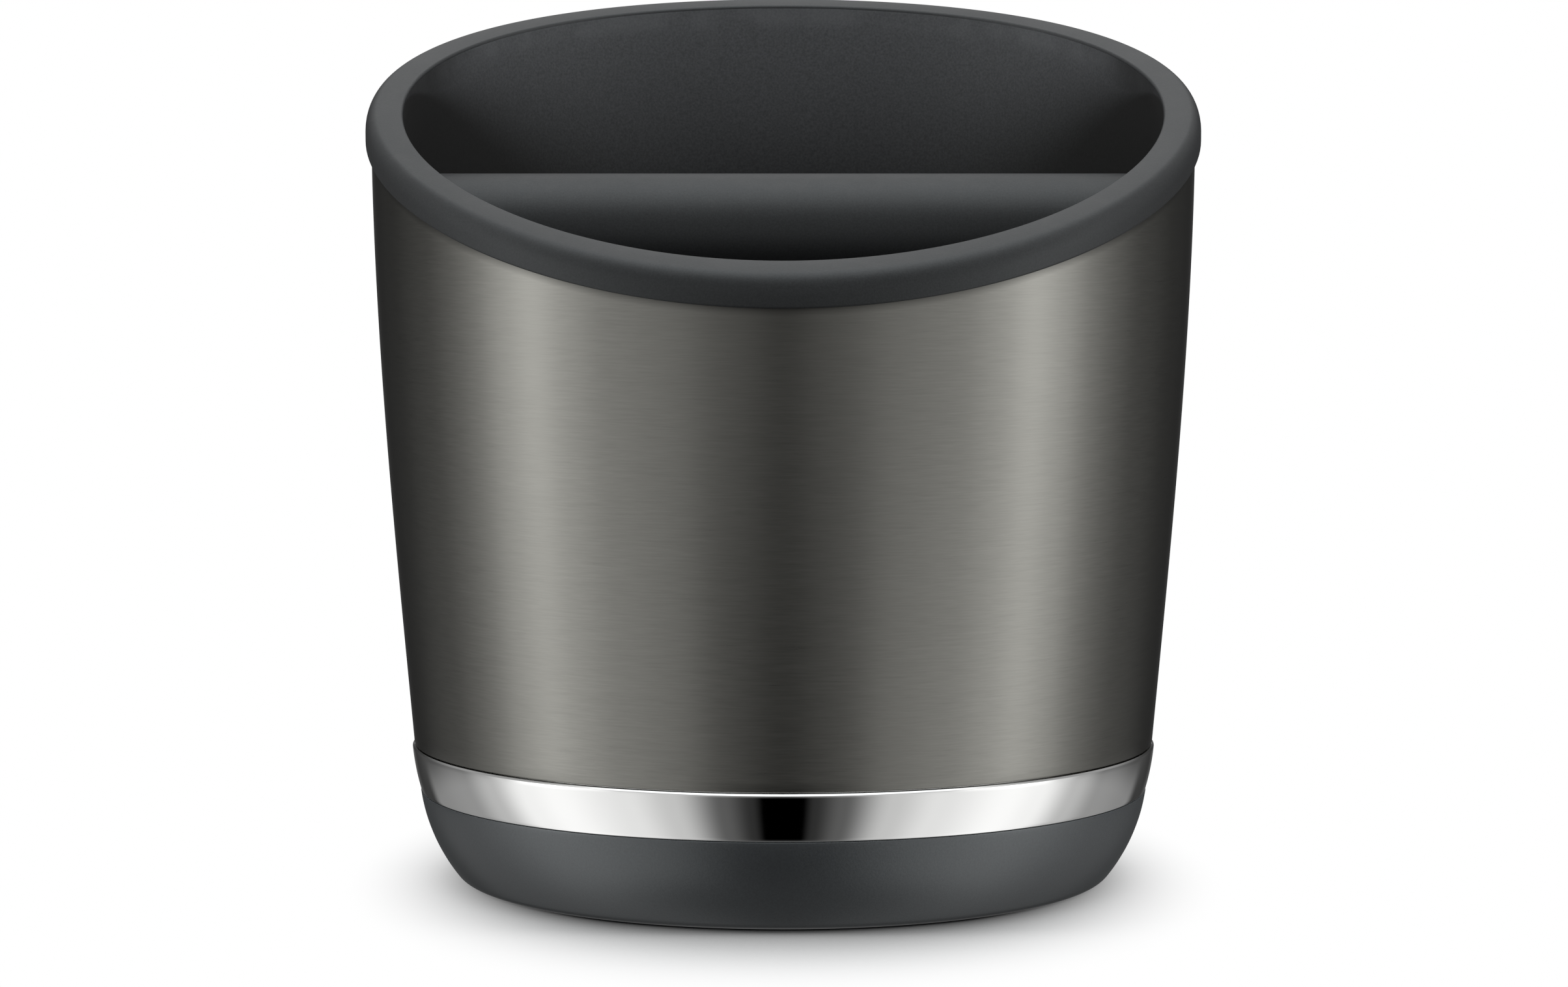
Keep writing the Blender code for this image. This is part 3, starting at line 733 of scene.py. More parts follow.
def soft_finish(tree, tint, grain, roughness, gloss, dust, ior=1.5, interior_shaded=False):
    """Matt moulded elastomer, rubber or plastic with grain, drift, rubbed edges and dust."""
    finish = bpy.context.scene.knock_box_finish
    base = getattr(finish, tint)
    grains = tree.effect("Moulded grain", grains_per_metre=grain)
    drift = tree.effect("Tone drift")[0]
    rubbed = tree.effect("Rubbed edges", amount=finish.rubbing)[0]
    dusty = tree.effect("Settled dust", amount=dust)[0]
    toned = tree.mix(drift, *(paler(base, tone) for tone in DRIFT_TONES))
    contrast = tree.mix(grains["Speckle"], *(grey(tone) for tone in SPECKLE_TONES))
    speckled = tree.mix(1.0, toned, contrast, "MULTIPLY")
    worn = tree.mix(rubbed, speckled, paler(base, RUBBED_TONE))
    surface = tree.mix(dusty, worn, COFFEE_FILM)
    # Painted shade inside the bucket, multiplied into the colour: darker deeper down and on the
    # side walls
    if interior_shaded:
        sizes = bpy.context.scene.knock_box_body
        interior_shade = tree.effect(
            "Coffee stain",
            crest_height=sizes.crest_height,
            mouth_slope=math.tan(sizes.mouth_tilt),
            reach=finish.interior_shade_reach,
            floor_height=BAND_LOW_Z,
        )[0]
        surface = tree.mix(1.0, surface, tree.mix(interior_shade, grey(1.0), INTERIOR_SHADE_TONE), "MULTIPLY")
    rough = tree.spread(drift, roughness - 0.03, roughness + 0.04)
    smoothed = tree.plus(rough, tree.times(rubbed, RUBBED_GLOSS))
    dulled = tree.plus(smoothed, tree.times(dusty, DUST_DULLNESS), clamp=True)
    tree.shade(Base_Color=surface, Roughness=dulled)
    tree.shade(Specular_IOR_Level=gloss, IOR=ior, Specular_Tint=SOFT_GLOSS_TINT)
    tree.bump(grains["Height"], GRAIN_DEPTH, strength=0.6)


def drop_below_crest(tree, sizes):
    """How far each point lies below the slanted crest of the rim."""
    x, y, z = tree.axes(tree.place())
    across = tree.times(y, 1 / BEAD_RADIUS)
    bent = tree.times(tree.times(across, across), sizes.crest_arch)
    rise = tree.times(y, math.tan(sizes.mouth_tilt))
    crest = tree.plus(tree.math("SUBTRACT", rise, bent), sizes.crest_height)
    return tree.math("SUBTRACT", crest, z)


def dark_steel_finish(tree):
    """Dark-tinted stainless steel sheet, brushed round the barrel, with the rim's shadow painted
    just under the rim.
    """
    sizes = bpy.context.scene.knock_box_body
    finish = bpy.context.scene.knock_box_finish
    base = finish.dark_steel
    swing = 0.30 * finish.brushing
    streaks = tree.effect("Brushed streaks")
    drift = tree.effect("Tone drift", clouds_per_metre=18.0)[0]
    brushed = tree.mix(streaks["Streaks"], paler(base, 1 - swing), paler(base, 1 + swing))
    toned = tree.mix(tree.spread(drift, 0.0, 0.12), brushed, paler(base, 0.8))
    # Painted shadow: the colour goes nearly black just below the rim's lip and fades out over the
    # shadow's reach
    below = tree.math("SUBTRACT", drop_below_crest(tree, sizes), sizes.rim_depth)
    painted_shadow = tree.remap(below, 0.0, finish.painted_shadow_reach, finish.painted_shadow, 0.0)
    rough = tree.spread(streaks["Streaks"], 0.27, 0.34)
    bands = tree.spread(streaks["Bands"], -0.008, 0.008)
    tree.shade(Base_Color=tree.mix(painted_shadow, toned, paler(base, PAINTED_SHADOW_TONE)))
    tree.shade(Roughness=tree.plus(rough, bands), Metallic=1.0, Specular_Tint=grey(STEEL_EDGE_TINT))
    tree.shade(Anisotropic=0.85, Anisotropic_Rotation=0.25)
    tree.bump(streaks["Height"], BRUSH_DEPTH, strength=0.5 * finish.brushing)


def chrome_finish(tree):
    """Bright plating with faint wipe marks."""
    base = bpy.context.scene.knock_box_finish.chrome
    smear = tree.effect("Tone drift", clouds_per_metre=70.0)[0]
    wiped = tree.effect("Brushed streaks", streaks_along=30.0, lines_per_metre=900.0)["Streaks"]
    tree.shade(Base_Color=tree.mix(smear, paler(base, 1.0), paler(base, 0.97)), Metallic=1.0)
    tree.shade(Roughness=tree.spread(wiped, 0.02, 0.06))
    tree.bump(smear, SMEAR_DEPTH, strength=0.2)


def bright_steel_finish(tree):
    """Plain bright steel of the screws and the bar's core."""
    base = bpy.context.scene.knock_box_finish.bright_steel
    streaks = tree.effect("Brushed streaks", streaks_along=500.0, lines_per_metre=5000.0)
    rubbed = tree.effect("Rubbed edges", amount=0.6)[0]
    toned = tree.mix(streaks["Streaks"], paler(base, 0.9), paler(base, 1.1))
    tree.shade(Base_Color=tree.mix(rubbed, toned, paler(base, 1.35)), Metallic=1.0)
    tree.shade(Roughness=tree.spread(streaks["Streaks"], 0.24, 0.36))
    tree.bump(streaks["Height"], BRUSH_DEPTH, strength=0.4)


# Values of the soft finishes, by the record's material slot
SOFT_FINISHES = {
    "soft_elastomer": dict(tint="elastomer", grain=3400.0, roughness=0.46, gloss=0.46, dust=0.04),
    "foot_rubber": dict(
        tint="rubber", grain=3400.0, roughness=0.34, gloss=0.69, dust=0.04, ior=1.72
    ),
    # The moulding carries the painted shade inside the bucket
    "moulded_plastic": dict(
        tint="moulding", grain=2600.0, roughness=0.6, gloss=0.35, dust=0.08, interior_shaded=True
    ),
}
METAL_FINISHES = {
    "dark_brushed_steel": dark_steel_finish,
    "polished_chrome": chrome_finish,
    "bright_steel": bright_steel_finish,
}


def new_material(name):
    material = bpy.data.materials.new(name)
    material.use_nodes = True
    return material, ShaderTree(material.node_tree)


def material_for(slot):
    """The finish of one of the record's material slots, made once."""
    name = f"finish_{slot}"
    made = bpy.data.materials.get(name)
    if not made:
        made, tree = new_material(name)
        if slot in SOFT_FINISHES:
            soft_finish(tree, **SOFT_FINISHES[slot])
        else:
            METAL_FINISHES[slot](tree)
    return made


# Studio

# Brightness of the walls round the object, as (degrees from -Y, brightness)
UNDER_WALL = (
    (0, 0.14), (20, 0.14), (45, 0.2), (70, 0.35), (95, 0.5), (115, 0.4), (140, 0.2), (180, 0.12),
)
LOW_WALL = (
    (0, 0.0), (6, 0.0), (10, 0.03), (19, 0.11), (35, 0.60), (50, 0.84), (76, 1.08), (88, 1.00),
    (104, 0.52), (118, 0.31), (143, 0.25), (151, 0.04), (160, 0.05), (170, 0.2), (180, 0.3),
)
UPPER_WALL = (
    (0, 0.22), (12, 0.42), (30, 0.60), (50, 0.73), (62, 1.3), (74, 2.25), (84, 1.45),
    (96, 0.66), (106, 0.36), (118, 0.17), (143, 0.075), (160, 0.04), (170, 0.10), (180, 0.65),
)
HIGH_WALL = (
    (0, 0.06), (45, 0.20), (66, 0.5), (84, 1.2), (96, 0.70), (110, 0.35), (125, 0.33),
    (150, 0.40), (180, 0.80),
)
ZENITH = (1.75, 1.80, 1.83)

# Elevations in degrees between which each wall takes over from the one below it
WALL_BLENDS = ((-60.0, -43.0, LOW_WALL), (-18.0, -10.0, UPPER_WALL), (12.0, 32.0, HIGH_WALL))
ZENITH_BLEND = (50.0, 72.0)

WHITE = (1.0, 1.0, 1.0)
FLOOR_GREYS = (0.86, 0.88)
FLOOR_BOUNCE = 0.1
CONTACT_SHADE_REACH = 60.0 * MM
PLAIN_FLOOR_OVAL = (69.5 * MM, 105.0 * MM)
PLAIN_FLOOR_FADE = (0.55, 1.0)

# Softboxes: width and depth, place, target, and the setting that holds the power
SOFTBOXES = (
    ("overhead_softbox", (0.60, 0.60), (0, 0.15, 0.80), (0, 0, 0.08), "overhead"),
    ("left_strip", (0.12, 0.30), (-0.50, -0.15, 0.42), (0, 0, 0.05), "side_lamps"),
    ("right_strip", (0.12, 0.30), (0.50, -0.15, 0.42), (0, 0, 0.05), "side_lamps"),
)

CAMERA_PLACE = Vector((0.107 * MM, -0.650, 0.112553))
CAMERA_PITCH = math.radians(85.386)
CAMERA_LENS = 95.11
CAMERA_SENSOR = 36.0


def bearing_ramp(tree, bearing, stops):
    """Brightness by bearing, which runs from 0 at -Y to 1 at +Y on both sides."""
    ramp = tree.add("ValToRGB", {0: bearing})
    ramp.color_ramp.interpolation = "EASE"
    elements = ramp.color_ramp.elements
    while len(elements) > 1:
        elements.remove(elements[-1])
    for i, (degrees, brightness) in enumerate(stops):
        element = elements[0] if i == 0 else elements.new(degrees / 180)
        element.position = degrees / 180
        element.color = (*grey(brightness), 1.0)
    return ramp.outputs[0]


def build_world(stage):
    """White behind the object, and round it the reflectors and black cards of a studio."""
    world = bpy.data.worlds.new("studio")
    bpy.context.scene.world = world
    world.use_nodes = True
    tree = ShaderTree(world.node_tree)
    tree.nodes.clear()
    x, y, z = tree.axes(tree.output("TexCoord", "Generated"))
    turn = tree.math("ARCTAN2", tree.math("ABSOLUTE", x), tree.times(y, -1.0))
    bearing = tree.math("DIVIDE", turn, math.pi)
    elevation = tree.math("DEGREES", tree.math("ARCSINE", z))
    room = bearing_ramp(tree, bearing, UNDER_WALL)
    for low, high, stops in WALL_BLENDS:
        raised = tree.remap(elevation, low, high, smooth=True)
        room = tree.mix(raised, room, bearing_ramp(tree, bearing, stops))
    room = tree.mix(tree.remap(elevation, *ZENITH_BLEND, smooth=True), room, ZENITH)
    studio = tree.add("Background", {"Color": room, "Strength": stage.surroundings}).outputs[0]
    white = tree.add("Background", {"Color": WHITE}).outputs[0]
    seen = tree.output("LightPath", "Is Camera Ray")
    tree.add("OutputWorld", {"Surface": tree.mix_shaders(seen, studio, white)})


def floor_material():
    """White floor, with the shadow near the box, that is clear when seen from below."""
    material, tree = new_material("studio_floor")
    grains = tree.effect("Moulded grain", grains_per_metre=900.0)
    tinted = tree.mix(grains["Speckle"], *(grey(level) for level in FLOOR_GREYS))
    seen = tree.output("LightPath", "Is Camera Ray")
    contact = tree.add("AmbientOcclusion", {"Distance": CONTACT_SHADE_REACH}).outputs["AO"]
    near = tree.mix(contact, grey(0.0), tinted)
    tree.shade(Base_Color=tree.mix(seen, grey(FLOOR_BOUNCE), near))
    tree.shade(Roughness=0.9, Specular_IOR_Level=0.0)
    long, deep = PLAIN_FLOOR_OVAL
    oval = tree.stretched(tree.place(), (1 / long, 1 / deep, 0.0))
    distance = tree.add("VectorMath", {0: oval}, operation="LENGTH").outputs["Value"]
    plain = tree.times(tree.remap(distance, *PLAIN_FLOOR_FADE, smooth=True), seen)
    white = tree.add("Emission", {"Color": WHITE, "Strength": 1.0}).outputs[0]
    shown = tree.mix_shaders(plain, tree.nodes["Principled BSDF"].outputs[0], white)
    behind = tree.output("NewGeometry", "Backfacing")
    clear = tree.output("BsdfTransparent", 0)
    surface = tree.nodes["Material Output"].inputs["Surface"]
    tree.feed(surface, tree.mix_shaders(behind, shown, clear))
    return material


def add_softbox(name, size, place, target, power):
    """A rectangular area lamp that faces its target and shows in no reflection."""
    lamp = bpy.data.lights.new(name, "AREA")
    lamp.shape = "RECTANGLE"
    lamp.size, lamp.size_y = size
    lamp.energy = power
    obj = bpy.data.objects.new(name, lamp)
    obj.location = place
    obj.rotation_euler = (Vector(target) - Vector(place)).to_track_quat("-Z", "Y").to_euler()
    obj.visible_glossy = False
    bpy.context.scene.collection.objects.link(obj)


def build_camera():
    camera = bpy.data.cameras.new("photo_camera")
    camera.sensor_fit = "HORIZONTAL"
    camera.sensor_width = CAMERA_SENSOR
    camera.lens = CAMERA_LENS
    obj = bpy.data.objects.new("photo_camera", camera)
    obj.location = CAMERA_PLACE
    obj.rotation_euler = (CAMERA_PITCH, 0, 0)
    bpy.context.scene.collection.objects.link(obj)
    bpy.context.scene.camera = obj


class KNOCKBOX_OT_studio(bpy.types.Operator):
    """Sets up the white floor, the lamps, the surroundings and the camera"""

    bl_idname = "knock_box.studio"
    bl_label = "Build Studio"

    def execute(self, context):
        stage = context.scene.knock_box_stage
        context.scene.view_settings.view_transform = "Standard"
        bm = bmesh.new()
        bmesh.ops.create_circle(
            bm, cap_ends=True, segments=FLOOR_SEGMENTS, radius=stage.floor_radius
        )
        floor = link_mesh("studio_floor", bm)
        floor.data.materials.append(floor_material())
        floor.visible_glossy = False
        for name, size, place, target, setting in SOFTBOXES:
            add_softbox(name, size, place, target, getattr(stage, setting))
        build_world(stage)
        build_camera()
        return {"FINISHED"}


# Pieces


class KNOCKBOX_OT_sleeve(bpy.types.Operator):
    """Builds the brushed steel sleeve, cut on the slant under the rim"""

    bl_idname = "knock_box.sleeve"
    bl_label = "Build Sleeve"

    def execute(self, context):
        form = BodyForm(context.scene)
        sizes = form.sizes
        depth = sizes.rim_cover + sizes.seat_gap
        foot_z = form.band_top_z + sizes.sleeve_gap

        def section(angle):
            outer_top = form.slanted_edge(form.sleeve_outer, depth, angle)
            inner_top = form.slanted_edge(form.sleeve_inner, depth, angle)
            outline = wall(form.sleeve_outer, foot_z, outer_top, SLEEVE_STEPS)
            outline += wall(form.sleeve_inner, inner_top, foot_z, WALL_STEPS)
            cut_edges = (SLEEVE_STEPS, SLEEVE_STEPS + 1, len(outline) - 1)
            radii = dict.fromkeys(cut_edges, sizes.sleeve_edge) | {0: sizes.sleeve_hem}
            return soften(outline, radii, steps=3)

        sleeve = lofted("sleeve_sheet", section)
        finish_piece(sleeve, BOX_BODY, "dark_brushed_steel", "outer_sleeve")
        return {"FINISHED"}


class KNOCKBOX_OT_rim(bpy.types.Operator):
    """Builds the soft rim, one rounded bead round the slanted mouth"""

    bl_idname = "knock_box.rim"
    bl_label = "Build Rim"

    def bead(self, form):
        """Points (r, drop from the crest) over the bead, from its lip to its inner edge."""
        sizes = form.sizes
        lip = sizes.rim_lip_round
        inner = sizes.rim_inner_round
        quarter = math.pi / 2
        points = arc(BEAD_RADIUS - lip, lip - sizes.rim_depth, lip, -quarter, 0, ROUND_STEPS)
        high = sizes.rim_crown / 2
        shoulder_r = BEAD_RADIUS - sizes.rim_shoulder_width
        for a in evenly(0, quarter, 2 * ROUND_STEPS):
            r = shoulder_r + sizes.rim_shoulder_width * math.cos(a)
            points.append((r, high - sizes.rim_shoulder_drop * (1 - math.sin(a))))
        inner_r = form.mouth_radius + inner
        for reach in evenly(0, 1, ROUND_STEPS)[1:-1]:
            points.append((shoulder_r + (inner_r - shoulder_r) * reach, high * (1 - 2 * reach**2)))
        points += arc(inner_r, -high - inner, inner, quarter, 2 * quarter, ROUND_STEPS)
        return points

    def execute(self, context):
        form = BodyForm(context.scene)
        sizes = form.sizes
        bead = self.bead(form)
        step_r = form.mouth_radius + sizes.upstand_width + sizes.moulded_gap

        def section(angle):
            seat_z = form.slanted_edge(form.sleeve_outer, sizes.rim_cover, angle)
            lip_inner = form.sleeve_outer(seat_z) + sizes.seat_gap
            outline = [(lip_inner, -sizes.rim_cover), (lip_inner, -sizes.rim_depth)]
            outline += bead
            outline += [(step_r, bead[-1][1]), (step_r, -sizes.rim_cover)]
            return [(r, form.crest(r * math.sin(angle)) + drop) for r, drop in outline]

        finish_piece(lofted("rim_bead", section), BOX_BODY, "soft_elastomer", "soft_rim")
        return {"FINISHED"}


class KNOCKBOX_OT_band(bpy.types.Operator):
    """Builds the bright band between the sleeve and the boot"""

    bl_idname = "knock_box.band"
    bl_label = "Build Band"

    side_steps = 12

    def execute(self, context):
        form = BodyForm(context.scene)
        sizes = form.sizes
        top_r = sizes.sleeve_foot_radius + sizes.band_proud
        top = form.band_top_z - sizes.band_edge
        spigot_r = form.sleeve_inner(SLEEVE_FOOT_Z) - sizes.seat_gap
        spigot_top = SLEEVE_FOOT_Z + sizes.spigot_height
        straight = sizes.band_straight_share
        profile = [(form.bucket_outer(BAND_LOW_Z) + sizes.seat_gap, BAND_LOW_Z)]
        for level in evenly(1, 0, self.side_steps):
            bow = straight * level + (1 - straight) * level**2
            profile.append((top_r - sizes.band_taper * bow, top - (top - BAND_LOW_Z) * level))
        chamfer = len(profile) - 1
        profile += [
            (top_r - sizes.band_edge_width, form.band_top_z),
            (spigot_r, form.band_top_z),
            (spigot_r, spigot_top),
            (form.bucket_outer(spigot_top) + sizes.seat_gap, spigot_top),
        ]
        ease = sizes.edge_ease
        profile = soften(profile, {1: sizes.band_foot_edge, chamfer: ease, chamfer + 1: ease})
        finish_piece(turned("foot_band", profile), BOX_BODY, "polished_chrome", "trim_band")
        return {"FINISHED"}


class KNOCKBOX_OT_boot(bpy.types.Operator):
    """Builds the rubber boot with its flat foot ring"""

    bl_idname = "knock_box.boot"
    bl_label = "Build Boot"

    side_steps = 20

    def execute(self, context):
        form = BodyForm(context.scene)
        sizes = form.sizes
        foot_r = form.foot_inner_radius()
        sole_z = form.shelf_z - sizes.seat_gap
        top_z = BAND_LOW_Z - sizes.moulded_gap
        toe = form.boot_toe(ROUND_STEPS)
        side = form.boot_side(0, toe[-1][1], top_z, self.side_steps)
        inside = form.boot_side(sizes.boot_wall, sole_z, top_z, ROUND_STEPS)
        profile = [(foot_r, 0)] + toe + side[1:]
        top_corner = len(profile) - 1
        profile += inside[::-1] + [(foot_r, sole_z)]
        profile = soften(profile, {0: sizes.boot_edge, top_corner: sizes.boot_top_edge})
        finish_piece(turned("foot_boot", profile), BOX_BODY, "foot_rubber", "base_boot")
        return {"FINISHED"}


class KNOCKBOX_OT_pan(bpy.types.Operator):
    """Builds the base pan inside the boot, with a counterbore for each screw"""

    bl_idname = "knock_box.pan"
    bl_label = "Build Base Pan"

    def execute(self, context):
        form = BodyForm(context.scene)
        sizes = form.sizes
        rim_r = form.foot_inner_radius() - sizes.seat_gap
        inset = sizes.boot_wall + sizes.seat_gap
        outside = form.boot_side(inset, form.shelf_z, BOOT_TOP_Z, ROUND_STEPS)
        inside = form.boot_side(inset + sizes.pan_wall, form.pan_top_z, BOOT_TOP_Z, ROUND_STEPS)
        profile = [(0, sizes.pan_recess), (rim_r, sizes.pan_recess), (rim_r, form.shelf_z)]
        profile += outside + inside[::-1] + [(0, form.pan_top_z)]
        pan = turned("base_dish", soften(profile, {1: sizes.pan_edge}, steps=6))

        head = form.parts.head_radius + sizes.seat_gap
        shank = form.parts.shank_radius + sizes.seat_gap
        seat_z = form.head_seat_z + sizes.seat_gap
        low = -sizes.pan_recess
        high = form.pan_top_z + sizes.pan_recess
        stepped = [(0, low), (head, low), (head, seat_z), (shank, seat_z), (shank, high), (0, high)]
        for place in form.screw_places():
            hole = placed(turned("hole", stepped, SCREW_SEGMENTS), Matrix.Translation(place))
            combine(pan, hole, "DIFFERENCE")
        finish_piece(pan, BOX_BODY, "moulded_plastic", "base_pan")
        return {"FINISHED"}


class KNOCKBOX_OT_screws(bpy.types.Operator):
    """Builds the base screws with a cross recess in each head"""

    bl_idname = "knock_box.screws"
    bl_label = "Build Screws"

    wing_foot_spread = 1.4
    twist_between = 0.7

    def recess(self, parts):
        """Cross-shaped cutter with tapered wings."""
        half = parts.recess_width / 2
        spread = parts.recess_reach * self.wing_foot_spread
        top = SCREW_LOW.z + parts.recess_depth
        foot = SCREW_LOW.z - parts.recess_depth
        wing = ((-spread, foot), (spread, foot), (half, top), (-half, top))
        outline = [Vector((x, -half, z)) for x, z in wing]
        for turn in (0, math.pi / 2):
            cutter = block("recess", outline, Vector((0, 2 * half, 0)))
            yield placed(cutter, Matrix.Rotation(turn, 4, "Z"))

    def execute(self, context):
        form = BodyForm(context.scene)
        parts = form.parts
        low = SCREW_LOW.z
        seat = low + parts.head_height
        point = SCREW_HIGH.z
        ease = parts.head_round
        profile = [(0, low)]
        profile += arc(parts.head_radius - ease, low + ease, ease, -math.pi / 2, 0, steps=6)
        profile += [(parts.head_radius, seat), (parts.shank_radius, seat)]
        profile += [(parts.shank_radius, point - parts.point_length)]
        profile += [(parts.shank_radius / 2, point), (0, point)]
        for i, place in enumerate(form.screw_places(), 1):
            screw = turned(f"cross_screw_{i}", profile, SCREW_SEGMENTS)
            for cutter in self.recess(parts):
                combine(screw, cutter, "DIFFERENCE")
            twist = Matrix.Rotation(self.twist_between * i, 4, "Z")
            placed(screw, Matrix.Translation(place) @ twist)
            finish_piece(screw, BOX_BODY, "bright_steel", f"base_screw_{i}")
        return {"FINISHED"}


class KNOCKBOX_OT_bucket(bpy.types.Operator):
    """Builds the moulded bucket with its flange, bar cradles and screw bosses"""

    bl_idname = "knock_box.bucket"
    bl_label = "Build Bucket"

    slot_steps = 48

    def shell(self, form):
        sizes = form.sizes
        corner = sizes.bucket_inner_corner
        corner_z = form.floor_z + corner
        corner_r = form.bucket_inner(corner_z) - corner
        inner_corner = arc(corner_r, corner_z, corner, 0, -math.pi / 2, 2 * ROUND_STEPS)
        depth = sizes.rim_cover + sizes.seat_gap
        lip = sizes.rim_inner_round + sizes.rim_crown / 2 + sizes.moulded_gap
        step_r = form.mouth_radius + sizes.upstand_width
        wall_low = BAND_LOW_Z + sizes.bucket_outer_corner
        floor_r = form.bucket_outer(wall_low) - sizes.bucket_outer_corner

        def section(angle):
            lip_z = form.slanted_edge(form.bucket_inner, lip, angle)
            step_crest = form.crest(step_r * math.sin(angle))
            wall_top = form.slanted_edge(form.bucket_outer, depth, angle) - sizes.bucket_flange
            flange_z = form.slanted_edge(form.sleeve_inner, depth, angle)
            flange_r = form.sleeve_inner(flange_z) - sizes.seat_gap
            outline = [(0, BAND_LOW_Z), (floor_r, BAND_LOW_Z)]
            outline += wall(form.bucket_outer, wall_low, wall_top, WALL_STEPS)
            outline += [(flange_r, flange_z - sizes.bucket_flange), (flange_r, flange_z)]
            outline += [(step_r, step_crest - depth), (step_r, step_crest - lip)]
            outline += wall(form.bucket_inner, lip_z, corner_z, WALL_STEPS)
            return outline + inner_corner[1:] + [(0, form.floor_z)]

        return lofted("bucket_moulding", section)

    def add_bosses(self, bucket, form):
        parts = form.parts
        low = form.pan_top_z + form.sizes.seat_gap
        high = BAND_LOW_Z + form.sizes.bucket_floor / 2
        solid = [(0, low), (parts.boss_radius, low), (parts.boss_radius, high), (0, high)]
        pilot_r = parts.shank_radius + form.sizes.seat_gap
        pilot_top = BAND_LOW_Z - parts.pilot_cover
        pilot = [(0, 0), (pilot_r, 0), (pilot_r, pilot_top), (0, pilot_top)]
        for place in form.screw_places():
            where = Matrix.Translation(place)
            combine(bucket, placed(turned("boss", solid, SCREW_SEGMENTS), where), "UNION")
            combine(bucket, placed(turned("pilot", pilot, PILOT_SEGMENTS), where), "DIFFERENCE")

    def wall_middle(self, form, low, high):
        """Solid out to the middle of the bucket's wall, which trims what is rooted there."""
        half_wall = form.sizes.bucket_wall / 2
        side = wall(lambda z: form.bucket_outer(z) - half_wall, low, high, WALL_STEPS)
        return turned("wall_middle", [(0, low)] + side + [(0, high)], TRIM_SEGMENTS)

    def add_cradles(self, bucket, form):
        parts = form.parts
        axis_z = BAR_CENTRE.z
        slot_r = BAR_RADIUS + form.sizes.seat_gap
        slot_end = BAR_HALF_LENGTH + form.sizes.seat_gap
        face_x = BAR_HALF_LENGTH - parts.cradle_depth
        half_width = slot_r + parts.cradle_side
        top = axis_z + parts.cradle_rise
        low = axis_z - slot_r - parts.cradle_web
        root = low - parts.cradle_ramp
        spare = parts.cradle_web
        pad_face = (
            (face_x, top), (face_x, low), (SHOULDER_RADIUS, root), (SHOULDER_RADIUS, top)
        )
        for side in (1, -1):
            outline = [Vector((side * x, -half_width, z)) for x, z in pad_face]
            pad = block("cradle", outline, Vector((0, 2 * half_width, 0)))
            bevelled(pad, parts.cradle_round)
            combine(pad, self.wall_middle(form, root - spare, top + spare), "INTERSECT")
            combine(bucket, pad, "UNION")
        lead = slot_r + parts.cradle_lead_in
        half = [(slot_r, top - parts.cradle_lead_in), (lead, top), (lead, top + spare)]
        outline = arc(0, axis_z, slot_r, -math.pi, 0, self.slot_steps) + half
        outline += [(-y, z) for y, z in reversed(half)]
        points = [Vector((-slot_end, y, z)) for y, z in outline]
        combine(bucket, block("slot", points, Vector((2 * slot_end, 0, 0))), "DIFFERENCE")

    def execute(self, context):
        form = BodyForm(context.scene)
        bucket = self.shell(form)
        self.add_bosses(bucket, form)
        self.add_cradles(bucket, form)
        shade_smoothly(bucket.data, BUCKET_SHARP_ANGLE)
        finish_piece(bucket, BOX_BODY, "moulded_plastic", "inner_bucket")
        return {"FINISHED"}


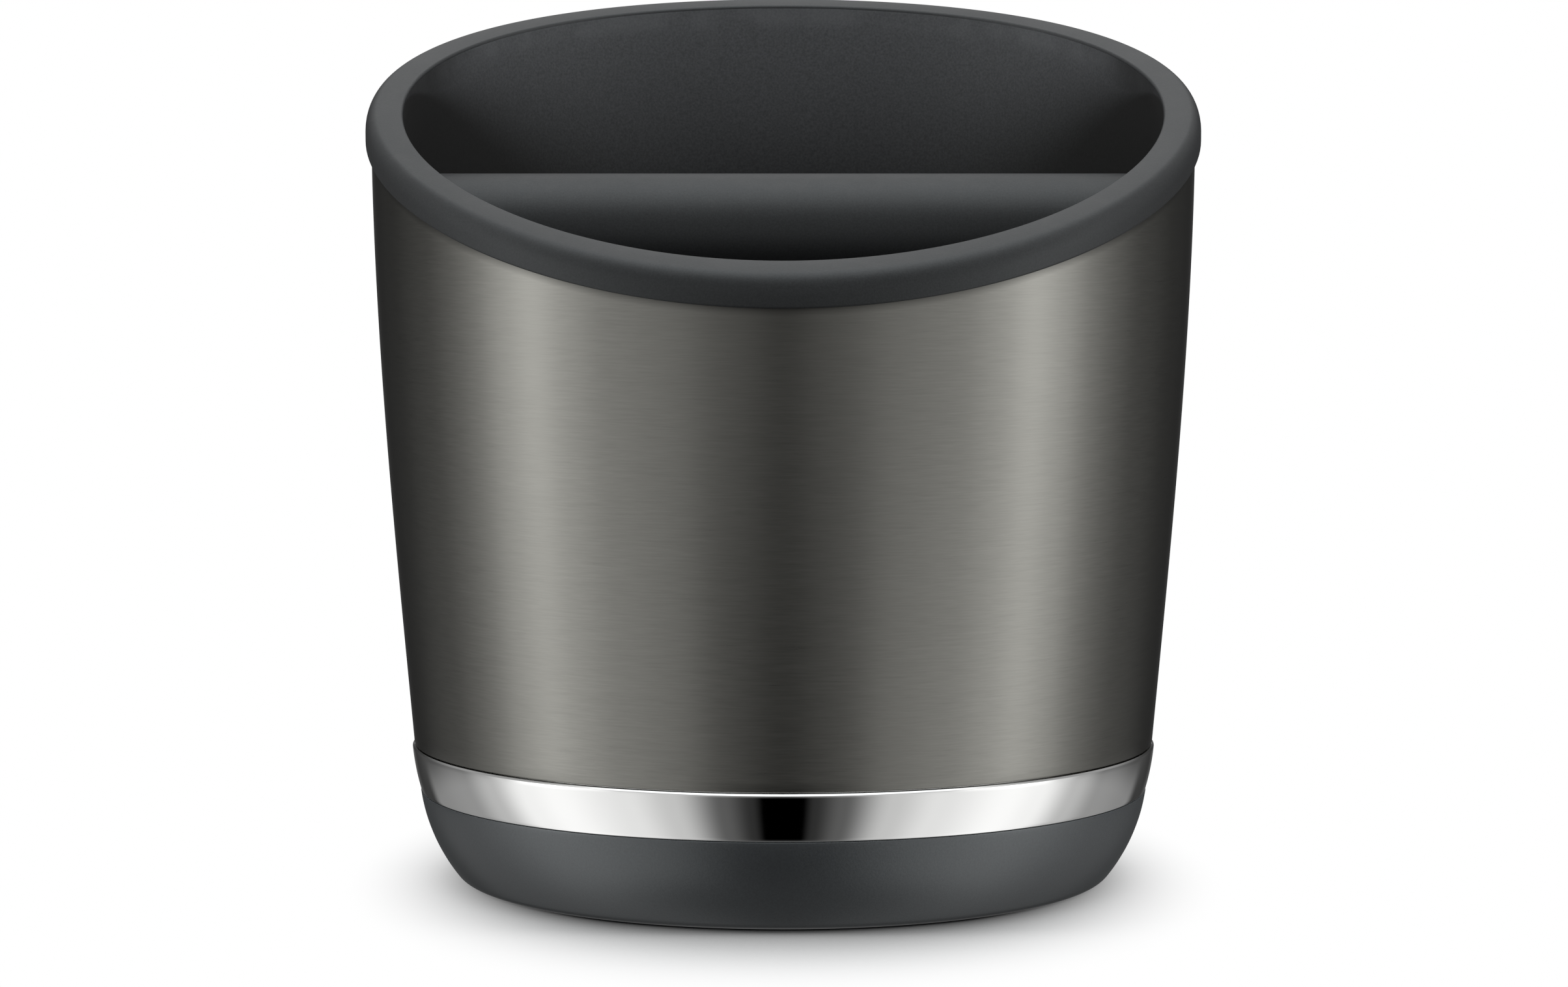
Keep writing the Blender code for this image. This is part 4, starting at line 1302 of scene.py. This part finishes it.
class KNOCKBOX_OT_bar(bpy.types.Operator):
    """Builds the knock bar: its steel core, padded cover and two soft end caps"""

    bl_idname = "knock_box.bar"
    bl_label = "Build Knock Bar"

    cover_steps = 24

    def cap_profile(self, parts, bore):
        half = BAR_HALF_LENGTH
        face = half - parts.cap_length
        bore_end = half - parts.cap_skin
        points = [(0, bore_end), (bore, bore_end), (bore, face), (BAR_RADIUS, face)]
        points += [(BAR_RADIUS, half), (0, half)]
        return soften(points, {3: parts.cover_edge, 4: parts.cap_round}, ROUND_STEPS)

    def cover_profile(self, parts, bore):
        half = COVER_HIGH.x
        points = [(bore, -half)]
        points += [(BAR_RADIUS, x) for x in evenly(-half, half, self.cover_steps)]
        points.append((bore, half))
        return soften(points, dict.fromkeys((1, len(points) - 2), parts.cover_edge), steps=6)

    def core_profile(self, parts):
        half = CORE_HALF_LENGTH
        side = parts.core_radius
        points = [(0, -half), (side, -half), (side, half), (0, half)]
        return soften(points, dict.fromkeys((1, 2), parts.cover_edge), steps=3)

    def execute(self, context):
        parts = context.scene.knock_box_parts
        bore = parts.core_radius + context.scene.knock_box_body.seat_gap
        core = self.core_profile(parts)
        cover = self.cover_profile(parts, bore)
        cap = self.cap_profile(parts, bore)
        pieces = (
            ("bar_rod", core, 1, "bright_steel", "bar_core"),
            ("bar_padding", cover, 1, "soft_elastomer", "bar_cover"),
            ("bar_cap_right", cap, 1, "foot_rubber", "bar_end_right"),
            ("bar_cap_left", cap, -1, "foot_rubber", "bar_end_left"),
        )
        for name, profile, side, slot, node in pieces:
            piece = turned(name, profile, BAR_SEGMENTS)
            lie_down = Matrix.Rotation(side * math.pi / 2, 4, "Y")
            placed(piece, Matrix.Translation((0, 0, BAR_CENTRE.z)) @ lie_down)
            finish_piece(piece, BAR_BODY, slot, node)
        return {"FINISHED"}


class KNOCKBOX_PT_panel(bpy.types.Panel):
    """Lists the sizes, the colours and the pieces"""

    bl_idname = "KNOCKBOX_PT_panel"
    bl_label = "Knock Box"
    bl_space_type = "VIEW_3D"
    bl_region_type = "UI"
    bl_category = "Knock Box"

    def draw(self, context):
        layout = self.layout
        for name, group in SETTINGS.items():
            box = layout.box()
            box.label(text=group.__doc__)
            settings = getattr(context.scene, name)
            for key in group.__annotations__:
                box.prop(settings, key)
        column = layout.column()
        for operator in OPERATORS:
            column.operator(operator.bl_idname)


OPERATORS = (
    KNOCKBOX_OT_studio,
    KNOCKBOX_OT_sleeve,
    KNOCKBOX_OT_rim,
    KNOCKBOX_OT_band,
    KNOCKBOX_OT_boot,
    KNOCKBOX_OT_pan,
    KNOCKBOX_OT_screws,
    KNOCKBOX_OT_bucket,
    KNOCKBOX_OT_bar,
)
CLASSES = (*SETTINGS.values(), *OPERATORS, KNOCKBOX_PT_panel)


def register():
    for cls in CLASSES:
        bpy.utils.register_class(cls)
    for name, group in SETTINGS.items():
        setattr(bpy.types.Scene, name, PointerProperty(type=group))


def unregister():
    for name in SETTINGS:
        delattr(bpy.types.Scene, name)
    for cls in reversed(CLASSES):
        bpy.utils.unregister_class(cls)


def main():
    register()
    bpy.ops.knock_box.studio()
    bpy.ops.knock_box.sleeve()
    bpy.ops.knock_box.rim()
    bpy.ops.knock_box.band()
    bpy.ops.knock_box.boot()
    bpy.ops.knock_box.pan()
    bpy.ops.knock_box.screws()
    bpy.ops.knock_box.bucket()
    bpy.ops.knock_box.bar()


if __name__ == "__main__":
    main()
